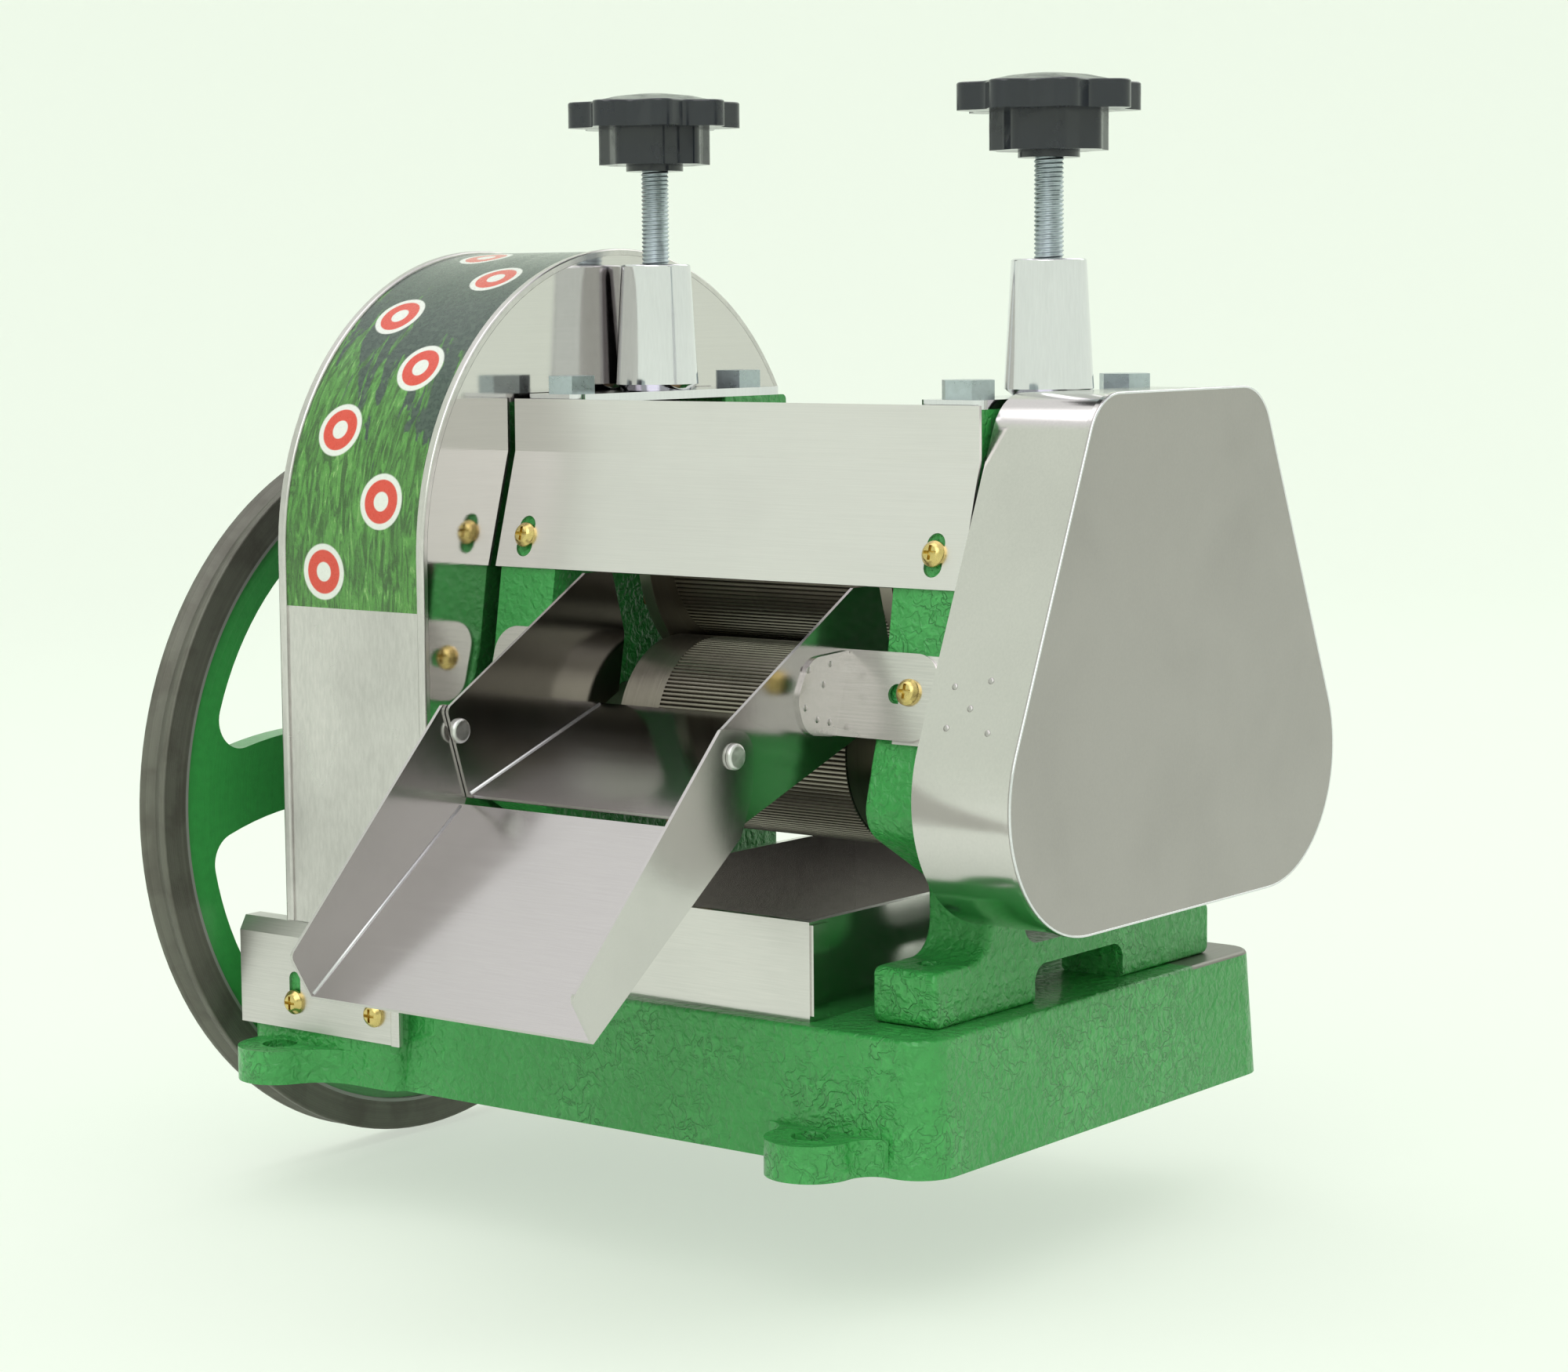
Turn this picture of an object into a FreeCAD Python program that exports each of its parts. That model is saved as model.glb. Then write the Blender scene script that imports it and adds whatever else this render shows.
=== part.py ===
# Manual sugarcane juicer: three fluted rollers in a cast frame, driven by a handwheel through a pinion.
# Frame: +X towards the roller gear cover, -Y towards the feed chute, +Z up.
# The origin is the centre of the four ear holes, on the underside of the base.
import FreeCAD, Part
import math
import os
import Sketcher

Vector = FreeCAD.Vector
Rotation = FreeCAD.Rotation
Placement = FreeCAD.Placement

DIMS = {
    # base casting
    "base_left": 143.0,
    "base_right": 160.0,
    "base_half_depth": 105.0,
    "base_height": 44.0,
    "base_draft": 3.9,
    "base_corner": 14.0,
    "base_wall": 9.0,
    "base_hollow": 35.0,
    "ear_spacing_x": 240.0,
    "ear_reach": 9.0,
    "ear_radius": 15.0,
    "ear_thickness": 12.0,
    "ear_hole": 6.25,
    "ear_fillet": 9.0,
    "pad_fillet": 20.0,
    "pad_left": 141.0,
    "pad_right": 66.0,
    "pad_step": 4.0,
    "pad_corner": 7.0,
    "cast_edge": 1.6,
    # stands
    "stand_thickness": 25.0,
    "stand_spacing": 170.0,
    "roller_centre": 50.0,
    "stand_top": 241.0,
    "stand_top_half": 60.0,
    "slope_top_z": 223.9,
    "slope_foot_y": 71.3,
    "slope_foot_z": 184.2,
    "bulge_top_y": 74.5,
    "bulge_top_z": 163.4,
    "bulge_y": 90.0,
    "bulge_z": 108.0,
    "waist_y": 53.0,
    "waist_z": 86.5,
    "foot_y": 84.0,
    "foot_top": 62.5,
    "foot_gap_y": 27.0,
    "foot_gap_top": 56.5,
    "window_half": 42.0,
    "window_foot": 64.0,
    "window_top": 117.0,
    "slot_half": 24.0,
    "slot_floor": 168.0,
    # axes
    "top_axis_z": 191.0,
    "lower_axis_y": 33.5,
    "shaft_axis_z": 92.0,
    # rollers
    "barrel_half": 49.5,
    "top_barrel": 36.5,
    "lower_barrel": 33.0,
    "flange_radius": 48.5,
    "flange_thickness": 5.0,
    "end_play": 0.5,
    "flute_count": 132.0,
    "flute_depth": 0.7,
    "smooth_end": 17.0,
    "shoulder_radius": 15.0,
    "journal_radius": 12.0,
    "seat_radius": 10.0,
    "thread_radius": 6.0,
    "run_clearance": 0.06,
    "seat_clearance": 0.03,
    "bush_wall": 3.0,
    # bearing blocks and pressure gear
    "block_height": 46.0,
    "slide_clearance": 0.1,
    "housing_foot": 15.0,
    "housing_head": 12.5,
    "housing_top": 289.2,
    "housing_flange": 3.0,
    "housing_flange_half": 58.0,
    "housing_bore": 10.0,
    "housing_bore_top": 279.0,
    "spring_wire": 2.4,
    "spring_turns": 7.0,
    "spring_gap": 0.3,
    "cap_foot": 270.0,
    "cap_thickness": 5.0,
    "cap_clearance": 0.07,
    "screw_radius": 5.0,
    "screw_bite": 11.6,
    "bolt_spread": 47.0,
    "bolt_radius": 5.0,
    "bolt_flats": 16.0,
    "bolt_head": 6.2,
    "bolt_depth": 28.0,
    # star knobs
    "knob_foot": 322.4,
    "knob_collar_height": 2.3,
    "knob_hub_height": 13.1,
    "knob_star_height": 9.2,
    "knob_crown_height": 3.0,
    "knob_radius": 31.2,
    "knob_valley": 27.0,
    "knob_hub_radius": 20.0,
    "knob_collar": 10.3,
    "knob_lobes": 8.0,
    # gears
    "gear_module": 3.0,
    "roller_module": 2.5,
    "roller_teeth": 29.0,
    "drive_teeth": 52.0,
    "pinion_teeth": 14.0,
    "roller_gear_gap": 4.5,
    "roller_gear_width": 12.0,
    "roller_gear_stagger": 14.0,
    "drive_gear_gap": 18.5,
    "drive_gear_width": 22.0,
    "drive_web_inner": 22.0,
    "drive_web_outer": 66.0,
    "pinion_width": 26.0,
    "flank_relief": 0.3,
    "nut_flats": 19.0,
    "nut_height": 7.0,
    # handwheel and shaft
    "wheel_radius": 136.0,
    "wheel_gap": 27.0,
    "wheel_rim": 13.0,
    "rim_inner": 112.0,
    "rim_machined": 124.0,
    "web_inset": 1.6,
    "groove_depth": 2.0,
    "hub_radius": 30.0,
    "hub_length": 23.0,
    "spoke_count": 5.0,
    "spoke_width": 28.0,
    "spoke_angle": 22.9,
    "spoke_bend": 152.5,
    "spoke_corner": 11.0,
    "wheel_seat": 9.0,
    "crank_radius": 100.0,
    "crank_spoke": 2.0,
    "grip_radius": 13.0,
    "grip_gap": 1.5,
    "grip_length": 64.0,
    "crank_pin": 6.0,
    "crank_nut_flats": 17.0,
    "crank_nut_height": 7.0,
    # outer stand
    "outer_stand_reach": 83.0,
    "outer_thickness": 18.0,
    "outer_foot_half": 55.0,
    "outer_foot_top": 54.0,
    "outer_foot_thick": 34.0,
    "outer_boss": 23.0,
    # sheet metal
    "sheet": 1.2,
    "sheet_seat": 0.05,
    "guard_overhang": 1.75,
    "guard_top": 242.4,
    "guard_foot_z": 184.2,
    "chute_half": 58.0,
    "chute_slope": 19.55,
    "chute_gap": 0.6,
    "chute_lip_y": -134.0,
    "chute_lip_z": 113.7,
    "wall_front_y": -143.5,
    "wall_front_z": 143.2,
    "wall_bend_y": -73.5,
    "wall_rear_z": 183.4,
    "wall_rear_y": -59.5,
    "wall_waist_y": -53.0,
    "wall_waist_z": 161.0,
    "wall_floor_y": -56.6,
    "rivet_y": -138.0,
    "rivet_z": 135.5,
    "rivet_radius": 2.4,
    "rivet_head": 4.2,
    "ext_play": 0.3,
    "ext_tip_y": -207.0,
    "ext_tip_z": 57.4,
    "ext_root_y": -135.5,
    "ext_root_z": 110.6,
    "ext_wall_tip_y": -215.5,
    "ext_wall_tip_z": 71.5,
    "tab_reach": 10.3,
    "tab_low": 136.2,
    "tab_high": 163.6,
    "tab_front": -105.0,
    "tab_screw_z": 151.0,
    "tab_slot_width": 6.2,
    "tab_slot_length": 12.0,
    "tray_half": 56.5,
    "tray_front": -96.3,
    "tray_rear": 80.0,
    "tray_top": 76.8,
    "tray_hem": 2.6,
    "tray_hem_height": 5.0,
    # arch cover
    "arch_gap": 3.5,
    "arch_width": 71.0,
    "arch_radius": 106.5,
    "arch_centre_z": 187.5,
    "arch_foot": 56.0,
    "arch_end_angle": 30.8,
    "bead": 1.9,
    "plate_clearance": 0.1,
    "plate_rear": 84.0,
    "bracket_left": -143.2,
    "bracket_right": -63.5,
    "bracket_foot": 17.0,
    "bracket_top": 50.6,
    "ledge_depth": 9.0,
    "ledge_slope": 3.0,
    "ledge_seat": 0.3,
    # roller gear cover
    "cover_gap": 2.5,
    "cover_depth": 37.5,
    "cover_top": 246.0,
    "cover_foot": 75.5,
    "cover_top_half": 50.0,
    "cover_foot_half": 122.8,
    "cover_top_corner": 18.0,
    "cover_foot_corner": 44.0,
    "lug_left": 4.5,
    "lug_reach": 27.0,
    "lug_low": 135.2,
    "lug_high": 163.2,
    # screws
    "pan_radius": 4.4,
    "pan_height": 3.0,
    "pan_shank": 2.5,
    "pan_length": 14.0,
    "slot_width": 7.0,
    "slot_length": 14.0,
    "guard_screw_offset": 2.4,
    "guard_screw_z": 194.9,
    "foot_screw_left": -115.6,
    "foot_screw_right": -76.1,
    "foot_screw_z": 27.0,
    "stand_bolt_y": 70.0,
    "stand_bolt_radius": 4.0,
    "stand_bolt_flats": 13.0,
    "stand_bolt_head": 5.3,
    "stand_bolt_length": 21.0,
    "outer_bolt_y": 42.0,
}

doc = FreeCAD.newDocument("CaneJuicer")
sheet = doc.addObject("Spreadsheet::Sheet", "Dims")
for row, (alias, number) in enumerate(DIMS.items(), 1):
    sheet.set("A%d" % row, alias)
    sheet.set("B%d" % row, str(number))
    sheet.setAlias("B%d" % row, alias)
doc.recompute()

NODES = []


def dim(alias):
    return float(sheet.get(alias))


# ---------------------------------------------------------------- construction helpers

def new_body(label):
    body = doc.addObject("PartDesign::Body", label)
    body.Label = label
    return body


def keep(node, at=(0, 0, 0)):
    node.Placement = Placement(Vector(*at), node.Placement.Rotation)
    NODES.append(node)
    return node


def origin_item(body, role):
    return [item for item in body.Origin.OriginFeatures if item.Role == role][0]


def new_sketch(body, role, offset=0.0, tilt=0.0, lift=(0, 0)):
    """A sketch on one of the body's origin planes, moved along its normal and tilted about its own X."""
    sketch = body.newObject("Sketcher::SketchObject", "Sketch")
    sketch.AttachmentSupport = [(origin_item(body, role), "")]
    sketch.MapMode = "FlatFace"
    shift = Vector(lift[0], lift[1], offset)
    sketch.AttachmentOffset = Placement(shift, Rotation(Vector(1, 0, 0), tilt))
    return sketch


def corner_points(before, corner, after, radius):
    """Tangent points and the middle of the arc that rounds one corner."""
    here = Vector(corner[0], corner[1], 0)
    back = (Vector(before[0], before[1], 0) - here).normalize()
    ahead = (Vector(after[0], after[1], 0) - here).normalize()
    half = back.getAngle(ahead) / 2
    reach = radius / math.tan(half)
    bisector = (back + ahead).normalize()
    middle = here + bisector * (radius / math.sin(half) - radius)
    return here + back * reach, middle, here + ahead * reach


def outline(sketch, corners):
    """A closed outline of (u, v) or (u, v, radius) corners."""
    count = len(corners)
    ends = []
    arcs = []
    for index, corner in enumerate(corners):
        radius = corner[2] if len(corner) > 2 else 0
        if radius > 0:
            first, middle, last = corner_points(corners[index - 1], corner, corners[(index + 1) % count], radius)
            arcs.append(Part.Arc(first, middle, last))
            ends.append((first, last))
        else:
            here = Vector(corner[0], corner[1], 0)
            ends.append((here, here))
    edges = list(arcs)
    for index in range(count):
        start = ends[index][1]
        finish = ends[(index + 1) % count][0]
        if (finish - start).Length > 1e-6:
            edges.append(Part.LineSegment(start, finish))
    sketch.addGeometry(edges, False)


def circle(sketch, u, v, radius):
    """A circle; a radius given by name is bound to the sheet."""
    size = dim(radius) if isinstance(radius, str) else radius
    index = sketch.addGeometry(Part.Circle(Vector(u, v, 0), Vector(0, 0, 1), size), False)
    place = sketch.addConstraint(Sketcher.Constraint("Radius", index, size))
    if isinstance(radius, str):
        sketch.setExpression("Constraints[%d]" % place, "Dims.%s" % radius)


def slot(sketch, u, v, width, length, upright):
    """A rounded slot centred on (u, v)."""
    half = width / 2
    reach = length / 2
    wide, tall = (half, reach) if upright else (reach, half)
    rounding = half - 0.001
    outline(sketch, [(u - wide, v - tall, rounding), (u + wide, v - tall, rounding),
                     (u + wide, v + tall, rounding), (u - wide, v + tall, rounding)])


def rectangle(sketch, left, low, right, high, radius=0.0):
    outline(sketch, [(left, low, radius), (right, low, radius), (right, high, radius), (left, high, radius)])


def bind(feature, name, value):
    """A number is set as it is, a sheet formula is bound."""
    if isinstance(value, str):
        feature.setExpression(name, "Dims." + value.replace("+ ", "+ Dims.").replace("- ", "- Dims."))
    else:
        setattr(feature, name, value)


def pad(body, sketch, length, both=False, taper=None, reverse=False):
    feature = body.newObject("PartDesign::Pad", "Pad")
    feature.Profile = sketch
    bind(feature, "Length", length)
    feature.Midplane = both
    feature.Reversed = reverse
    if taper:
        feature.TaperAngle = taper
    doc.recompute()
    return feature


def pocket(body, sketch, length=None, reverse=False):
    """A cut along the sketch's normal: right through both ways, or one way to a depth."""
    feature = body.newObject("PartDesign::Pocket", "Pocket")
    feature.Profile = sketch
    if length is None:
        feature.Type = 1
        feature.Midplane = True
    else:
        bind(feature, "Length", length)
        feature.Reversed = reverse
    doc.recompute()
    return feature


def turned(body, profile, role="X_Axis", plane="XY_Plane"):
    sketch = new_sketch(body, plane)
    outline(sketch, profile)
    feature = body.newObject("PartDesign::Revolution", "Revolution")
    feature.Profile = sketch
    feature.ReferenceAxis = (origin_item(body, role), [""])
    feature.Angle = 360
    doc.recompute()
    return feature


def repeated(body, feature, count, role="X_Axis"):
    pattern = body.newObject("PartDesign::PolarPattern", "PolarPattern")
    pattern.Originals = [feature]
    pattern.Axis = (origin_item(body, role), [""])
    pattern.Angle = 360
    pattern.Occurrences = int(count)
    body.Tip = pattern
    doc.recompute()
    return pattern


def rounded(body, size, chosen):
    """Round the edges of the body's tip that the test picks."""
    tip = body.Tip
    names = ["Edge%d" % (i + 1) for i, edge in enumerate(tip.Shape.Edges) if chosen(edge)]
    feature = body.newObject("PartDesign::Fillet", "Fillet")
    feature.Base = (tip, names)
    bind(feature, "Radius", size)
    doc.recompute()
    return feature


def stepped(steps, axis_first=True):
    """Corners of a turned profile from (start, end, radius) steps that join end to end."""
    corners = [(steps[0][0], 0)]
    for start, finish, radius in steps:
        corners.append((start, radius))
        corners.append((finish, radius))
    corners.append((steps[-1][1], 0))
    return corners if axis_first else [(b, a) for a, b in corners]


def group(label, shapes):
    """Several separate solids under one name."""
    node = doc.addObject("Part::Feature", label)
    node.Label = label
    node.Shape = Part.makeCompound(shapes)
    return keep(node)


def moved(shape, at, rotation=None):
    copy = shape.copy()
    copy.Placement = Placement(Vector(*at), rotation or Rotation())
    return copy


# ---------------------------------------------------------------- derived places

stand_half = dim("stand_thickness") / 2
centre_x = dim("roller_centre")
right_x = centre_x + dim("stand_spacing") / 2
left_x = centre_x - dim("stand_spacing") / 2
slope = math.degrees(math.atan2(dim("slope_foot_y") - dim("stand_top_half"),
                                dim("slope_top_z") - dim("slope_foot_z")))
bulge_slope = math.degrees(math.atan2(dim("bulge_y") - dim("bulge_top_y"),
                                      dim("bulge_top_z") - dim("bulge_z")))
block_top = dim("slot_floor") + dim("block_height")
lower_journal = dim("journal_radius") - 1
flange_top = dim("stand_top") + dim("housing_flange")
pad_front = dim("base_half_depth") + dim("pad_step")
ear_y = dim("base_half_depth") + dim("ear_reach")
axis_distance = dim("roller_module") * dim("roller_teeth")
lower_z = dim("top_axis_z") - math.sqrt(axis_distance ** 2 - dim("lower_axis_y") ** 2)
roller_gear_x = right_x + stand_half + dim("roller_gear_gap")
drive_gear_x = left_x - stand_half - dim("drive_gear_gap") - dim("drive_gear_width")
outer_x = left_x - dim("outer_stand_reach")
wheel_in = outer_x - dim("outer_thickness") / 2 - dim("wheel_gap")
wheel_out = wheel_in - dim("wheel_rim")
arch_right = left_x - stand_half - dim("arch_gap")
cover_back = right_x + stand_half + dim("cover_gap")
cover_front = cover_back + dim("cover_depth")
guard_screws_x = (left_x - dim("guard_screw_offset"), right_x + dim("guard_screw_offset"))
hub_foot = dim("knob_foot") + dim("knob_collar_height")
star_foot = hub_foot + dim("knob_hub_height")
star_top = star_foot + dim("knob_star_height")
knob_top = star_top + dim("knob_crown_height")
screw_top = dim("knob_foot") + dim("screw_bite")


def stand_face(height):
    """Y of the front face of a stand at a height."""
    if height >= dim("slope_foot_z"):
        run = (dim("slope_top_z") - height) * math.tan(math.radians(slope))
        return -(dim("stand_top_half") + max(run, 0))
    run = (dim("bulge_top_z") - height) * math.tan(math.radians(bulge_slope))
    return -(dim("bulge_top_y") + run)


def off_bulge(height, distance):
    """Y of a point at a height, a distance off the front face of a stand's bulge."""
    return stand_face(height) - distance / math.cos(math.radians(bulge_slope))


def cover_side(height, depth=0.0):
    """Y of the gear cover's front side at a height, or of a face at a depth inside it."""
    run = (dim("cover_foot_half") - dim("cover_top_half")) / (dim("cover_top") - dim("cover_foot"))
    return -(dim("cover_top_half") + (dim("cover_top") - height) * run - depth * math.hypot(1, run))


# ---------------------------------------------------------------- base casting

def ear_outline(sketch, x, y, left_fillet, right_fillet, wall):
    """One bolt ear: a round end whose sides run into the wall, straight or with a fillet of a radius."""
    side = math.copysign(1, y)
    radius = dim("ear_radius")
    wall_y = side * wall
    inner_y = wall_y - side * dim("base_wall")
    edges = []
    feet = []
    touches = []
    for turn, fillet in ((-1, left_fillet), (1, right_fillet)):
        centre_y = wall_y + side * fillet
        run = math.sqrt((radius + fillet) ** 2 - (centre_y - y) ** 2) if fillet else radius
        foot = Vector(x + turn * run, wall_y, 0)
        touch = Vector(x + turn * radius, y, 0)
        if fillet:
            centre = Vector(x + turn * run, centre_y, 0)
            touch = Vector(x, y, 0) + (centre - Vector(x, y, 0)) * (radius / (radius + fillet))
            middle = centre + ((foot - centre) + (touch - centre)).normalize() * fillet
            edges.append(Part.Arc(touch, middle, foot))
        else:
            edges.append(Part.LineSegment(touch, foot))
        feet.append(foot)
        touches.append(touch)
    left, right = feet
    edges.append(Part.Arc(touches[0], Vector(x, y + side * radius, 0), touches[1]))
    edges.append(Part.LineSegment(left, Vector(left.x, inner_y, 0)))
    edges.append(Part.LineSegment(Vector(left.x, inner_y, 0), Vector(right.x, inner_y, 0)))
    edges.append(Part.LineSegment(Vector(right.x, inner_y, 0), right))
    sketch.addGeometry(edges, False)


def make_base():
    body = new_body("base_casting")
    depth = dim("base_half_depth")
    plan = new_sketch(body, "XY_Plane")
    rectangle(plan, -dim("base_left"), -depth, dim("base_right"), depth, dim("base_corner"))
    pad(body, plan, "base_height", taper=-dim("base_draft"))
    half_x = dim("ear_spacing_x") / 2
    half_y = ear_y
    rounded(body, "cast_edge", lambda e: e.BoundBox.ZMin > dim("base_height") - 0.01)
    fillet = dim("ear_fillet")
    for x, y, left_fillet, right_fillet, wall in (
            (-half_x, -half_y, 0, dim("pad_fillet"), pad_front),
            (-half_x, half_y, 0, fillet, depth),
            (half_x, -half_y, fillet, fillet, depth),
            (half_x, half_y, fillet, fillet, depth)):
        ear = new_sketch(body, "XY_Plane")
        ear_outline(ear, x, y, left_fillet, right_fillet, wall)
        pad(body, ear, "ear_thickness")
    front = new_sketch(body, "XY_Plane")
    rectangle(front, -dim("pad_left"), -pad_front, -dim("pad_right"), 14 - depth, dim("pad_corner"))
    pad(body, front, "base_height")
    hollow = new_sketch(body, "XY_Plane")
    wall = dim("base_wall")
    rectangle(hollow, wall - dim("base_left"), wall - depth, dim("base_right") - wall, depth - wall,
              dim("base_corner"))
    pocket(body, hollow, "base_hollow", reverse=True)
    ear_holes = new_sketch(body, "XY_Plane")
    for x in (-half_x, half_x):
        for y in (-half_y, half_y):
            circle(ear_holes, x, y, "ear_hole")
    pocket(body, ear_holes, "ear_thickness", reverse=True)
    holes = new_sketch(body, "XY_Plane")
    for x, y in stand_bolt_places():
        circle(holes, x, y, dim("stand_bolt_radius") + 0.5)
    pocket(body, holes)
    front_holes = new_sketch(body, "XZ_Plane", offset=pad_front)
    for x in (dim("foot_screw_left"), dim("foot_screw_right")):
        circle(front_holes, x, dim("foot_screw_z"), dim("pan_shank") + dim("seat_clearance"))
    pocket(body, front_holes, dim("pan_length"))
    keep(body)


def stand_bolt_places():
    places = [(x, y) for x in (left_x, right_x) for y in (-dim("stand_bolt_y"), dim("stand_bolt_y"))]
    return places + [(outer_x, y) for y in (-dim("outer_bolt_y"), dim("outer_bolt_y"))]


# ---------------------------------------------------------------- stands

def stand_profile():
    half = [
        (dim("foot_gap_y"), dim("foot_gap_top"), 6),
        (dim("foot_gap_y"), dim("base_height")),
        (dim("foot_y"), dim("base_height"), 3),
        (dim("foot_y"), dim("foot_top"), 3),
        (dim("waist_y"), dim("foot_top"), 11),
        (dim("waist_y"), dim("waist_z"), 9),
        (dim("bulge_y"), dim("bulge_z"), 12),
        (dim("bulge_top_y"), dim("bulge_top_z")),
        (dim("slope_foot_y"), dim("slope_foot_z")),
        (dim("stand_top_half"), dim("slope_top_z"), 8),
        (dim("stand_top_half"), dim("stand_top"), 2),
        (dim("slot_half"), dim("stand_top")),
        (dim("slot_half"), dim("slot_floor"), 1.5),
    ]
    mirrored = [(-corner[0],) + tuple(corner[1:]) for corner in reversed(half)]
    return half + mirrored


def make_stand(label, x, with_window):
    body = new_body(label)
    face = new_sketch(body, "YZ_Plane")
    outline(face, stand_profile())
    pad(body, face, "stand_thickness", both=True)
    bores = new_sketch(body, "YZ_Plane")
    bush = lower_journal + dim("run_clearance") + dim("bush_wall") + dim("seat_clearance")
    for y in (-dim("lower_axis_y"), dim("lower_axis_y")):
        circle(bores, y, lower_z, bush)
    if with_window:
        outline(bores, [(-dim("window_half"), dim("window_foot"), 8), (dim("window_half"), dim("window_foot"), 8),
                        (0, dim("window_top"), 10)])
    else:
        shaft = dim("seat_radius") + dim("run_clearance") + dim("bush_wall") + dim("seat_clearance")
        circle(bores, 0, dim("shaft_axis_z"), shaft)
    pocket(body, bores)
    rounded(body, "cast_edge", lambda e: stand_rim(e))
    upright = new_sketch(body, "XY_Plane")
    for y in (-dim("bolt_spread"), dim("bolt_spread")):
        circle(upright, 0, y, dim("bolt_radius") + dim("seat_clearance"))
    upright.AttachmentOffset = Placement(Vector(0, 0, dim("stand_top")), Rotation())
    pocket(body, upright, dim("bolt_depth") + 2)
    feet = new_sketch(body, "XY_Plane", offset=dim("foot_top"))
    for y in (-dim("stand_bolt_y"), dim("stand_bolt_y")):
        circle(feet, 0, y, dim("stand_bolt_radius") + dim("seat_clearance"))
    pocket(body, feet, dim("foot_top") - dim("base_height"))
    guard_tap = new_sketch(body, "XZ_Plane", offset=-stand_face(dim("guard_screw_z")), tilt=-slope,
                           lift=(0, dim("guard_screw_z")))
    screw_x = dim("guard_screw_offset") if with_window else -dim("guard_screw_offset")
    circle(guard_tap, screw_x, 0, dim("pan_shank") + dim("seat_clearance"))
    pocket(body, guard_tap, dim("pan_length"))
    tab_tap = new_sketch(body, "XZ_Plane", offset=-stand_face(dim("tab_screw_z")), tilt=-bulge_slope,
                         lift=(0, dim("tab_screw_z")))
    circle(tab_tap, 0, 0, dim("pan_shank") + dim("seat_clearance"))
    pocket(body, tab_tap, dim("pan_length"))
    keep(body, (x, 0, 0))


def stand_rim(edge):
    """The outer front edges of the casting that the eye meets: foot, waist and bulge."""
    box = edge.BoundBox
    flat = box.XLength < 0.001
    outside = min(abs(box.YMin), abs(box.YMax)) > dim("foot_gap_y") + 1
    return flat and outside and box.ZMin > dim("base_height") + 0.5 and box.ZMax < dim("bulge_top_z") + 0.1 \
        and abs(abs((box.YMin + box.YMax) / 2) - dim("lower_axis_y")) > 0.5


def make_outer_stand():
    body = new_body("outer_stand")
    face = new_sketch(body, "YZ_Plane")
    boss = dim("outer_boss")
    reach = dim("outer_foot_half") - 8
    outline(face, [(-reach, dim("base_height")), (reach, dim("base_height")),
                   (reach, dim("outer_foot_top"), 3), (boss, dim("shaft_axis_z")),
                   (boss, dim("shaft_axis_z") + boss, boss - 0.01), (-boss, dim("shaft_axis_z") + boss, boss - 0.01),
                   (-boss, dim("shaft_axis_z")), (-reach, dim("outer_foot_top"), 3)])
    pad(body, face, "outer_thickness", both=True)
    foot = new_sketch(body, "XY_Plane", offset=dim("base_height"))
    rectangle(foot, -dim("outer_foot_thick") / 2, -dim("outer_foot_half"), dim("outer_foot_thick") / 2,
              dim("outer_foot_half"), 6)
    pad(body, foot, dim("outer_foot_top") - dim("base_height"))
    bore = new_sketch(body, "YZ_Plane")
    circle(bore, 0, dim("shaft_axis_z"),
           dim("seat_radius") + dim("run_clearance") + dim("bush_wall") + dim("seat_clearance"))
    pocket(body, bore)
    holes = new_sketch(body, "XY_Plane", offset=dim("base_height"))
    for y in (-dim("outer_bolt_y"), dim("outer_bolt_y")):
        circle(holes, 0, y, dim("stand_bolt_radius") + dim("seat_clearance"))
    pocket(body, holes, 16.0, reverse=True)
    keep(body, (outer_x, 0, 0))


def make_bushes(label, inner, places):
    length = dim("stand_thickness")
    shapes = []
    for x, y, z, width in places:
        body = new_body(label + "_blank")
        ring = new_sketch(body, "YZ_Plane")
        circle(ring, 0, 0, inner + dim("bush_wall"))
        circle(ring, 0, 0, inner)
        pad(body, ring, width or length, both=True)
        shapes.append(moved(body.Shape, (x, y, z)))
    group(label, shapes)


# ---------------------------------------------------------------- fasteners

def hex_bolt(flats, head, radius, length):
    """A hex bolt: the head stands up from z = 0, the shank hangs down."""
    body = new_body("hex_bolt_blank")
    shank = new_sketch(body, "XY_Plane")
    circle(shank, 0, 0, radius)
    pad(body, shank, length, reverse=True)
    top = new_sketch(body, "XY_Plane")
    reach = flats / math.sqrt(3)
    outline(top, [(reach * math.cos(math.radians(60 * k)), reach * math.sin(math.radians(60 * k))) for k in range(6)])
    pad(body, top, head)
    return body.Shape


def hex_nut(flats, height, radius):
    """A hex nut along +X from x = 0, with a chamfer-free plain bore."""
    body = new_body("hex_nut_blank")
    face = new_sketch(body, "YZ_Plane")
    reach = flats / math.sqrt(3)
    outline(face, [(reach * math.cos(math.radians(60 * k)), reach * math.sin(math.radians(60 * k)))
                   for k in range(6)])
    circle(face, 0, 0, radius)
    pad(body, face, height)
    return body


def pan_screw():
    """A pan head screw with a cross recess: the head stands up from z = 0, the shank hangs down."""
    body = new_body("pan_screw_blank")
    head = dim("pan_radius")
    height = dim("pan_height")
    shank = dim("pan_shank")
    turned(body, [(0, -dim("pan_length") + 1), (shank, -dim("pan_length") + 1), (shank, 0), (head, 0),
                  (head, height * 0.35, 0.9), (head * 0.62, height, 2.0), (0, height)],
           role="Z_Axis", plane="XZ_Plane")
    for wide, tall in ((head * 0.55, 0.55), (0.55, head * 0.55)):
        cross = new_sketch(body, "XY_Plane", offset=height)
        rectangle(cross, -wide, -tall, wide, tall)
        pocket(body, cross, height * 0.55)
    return body.Shape


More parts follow.
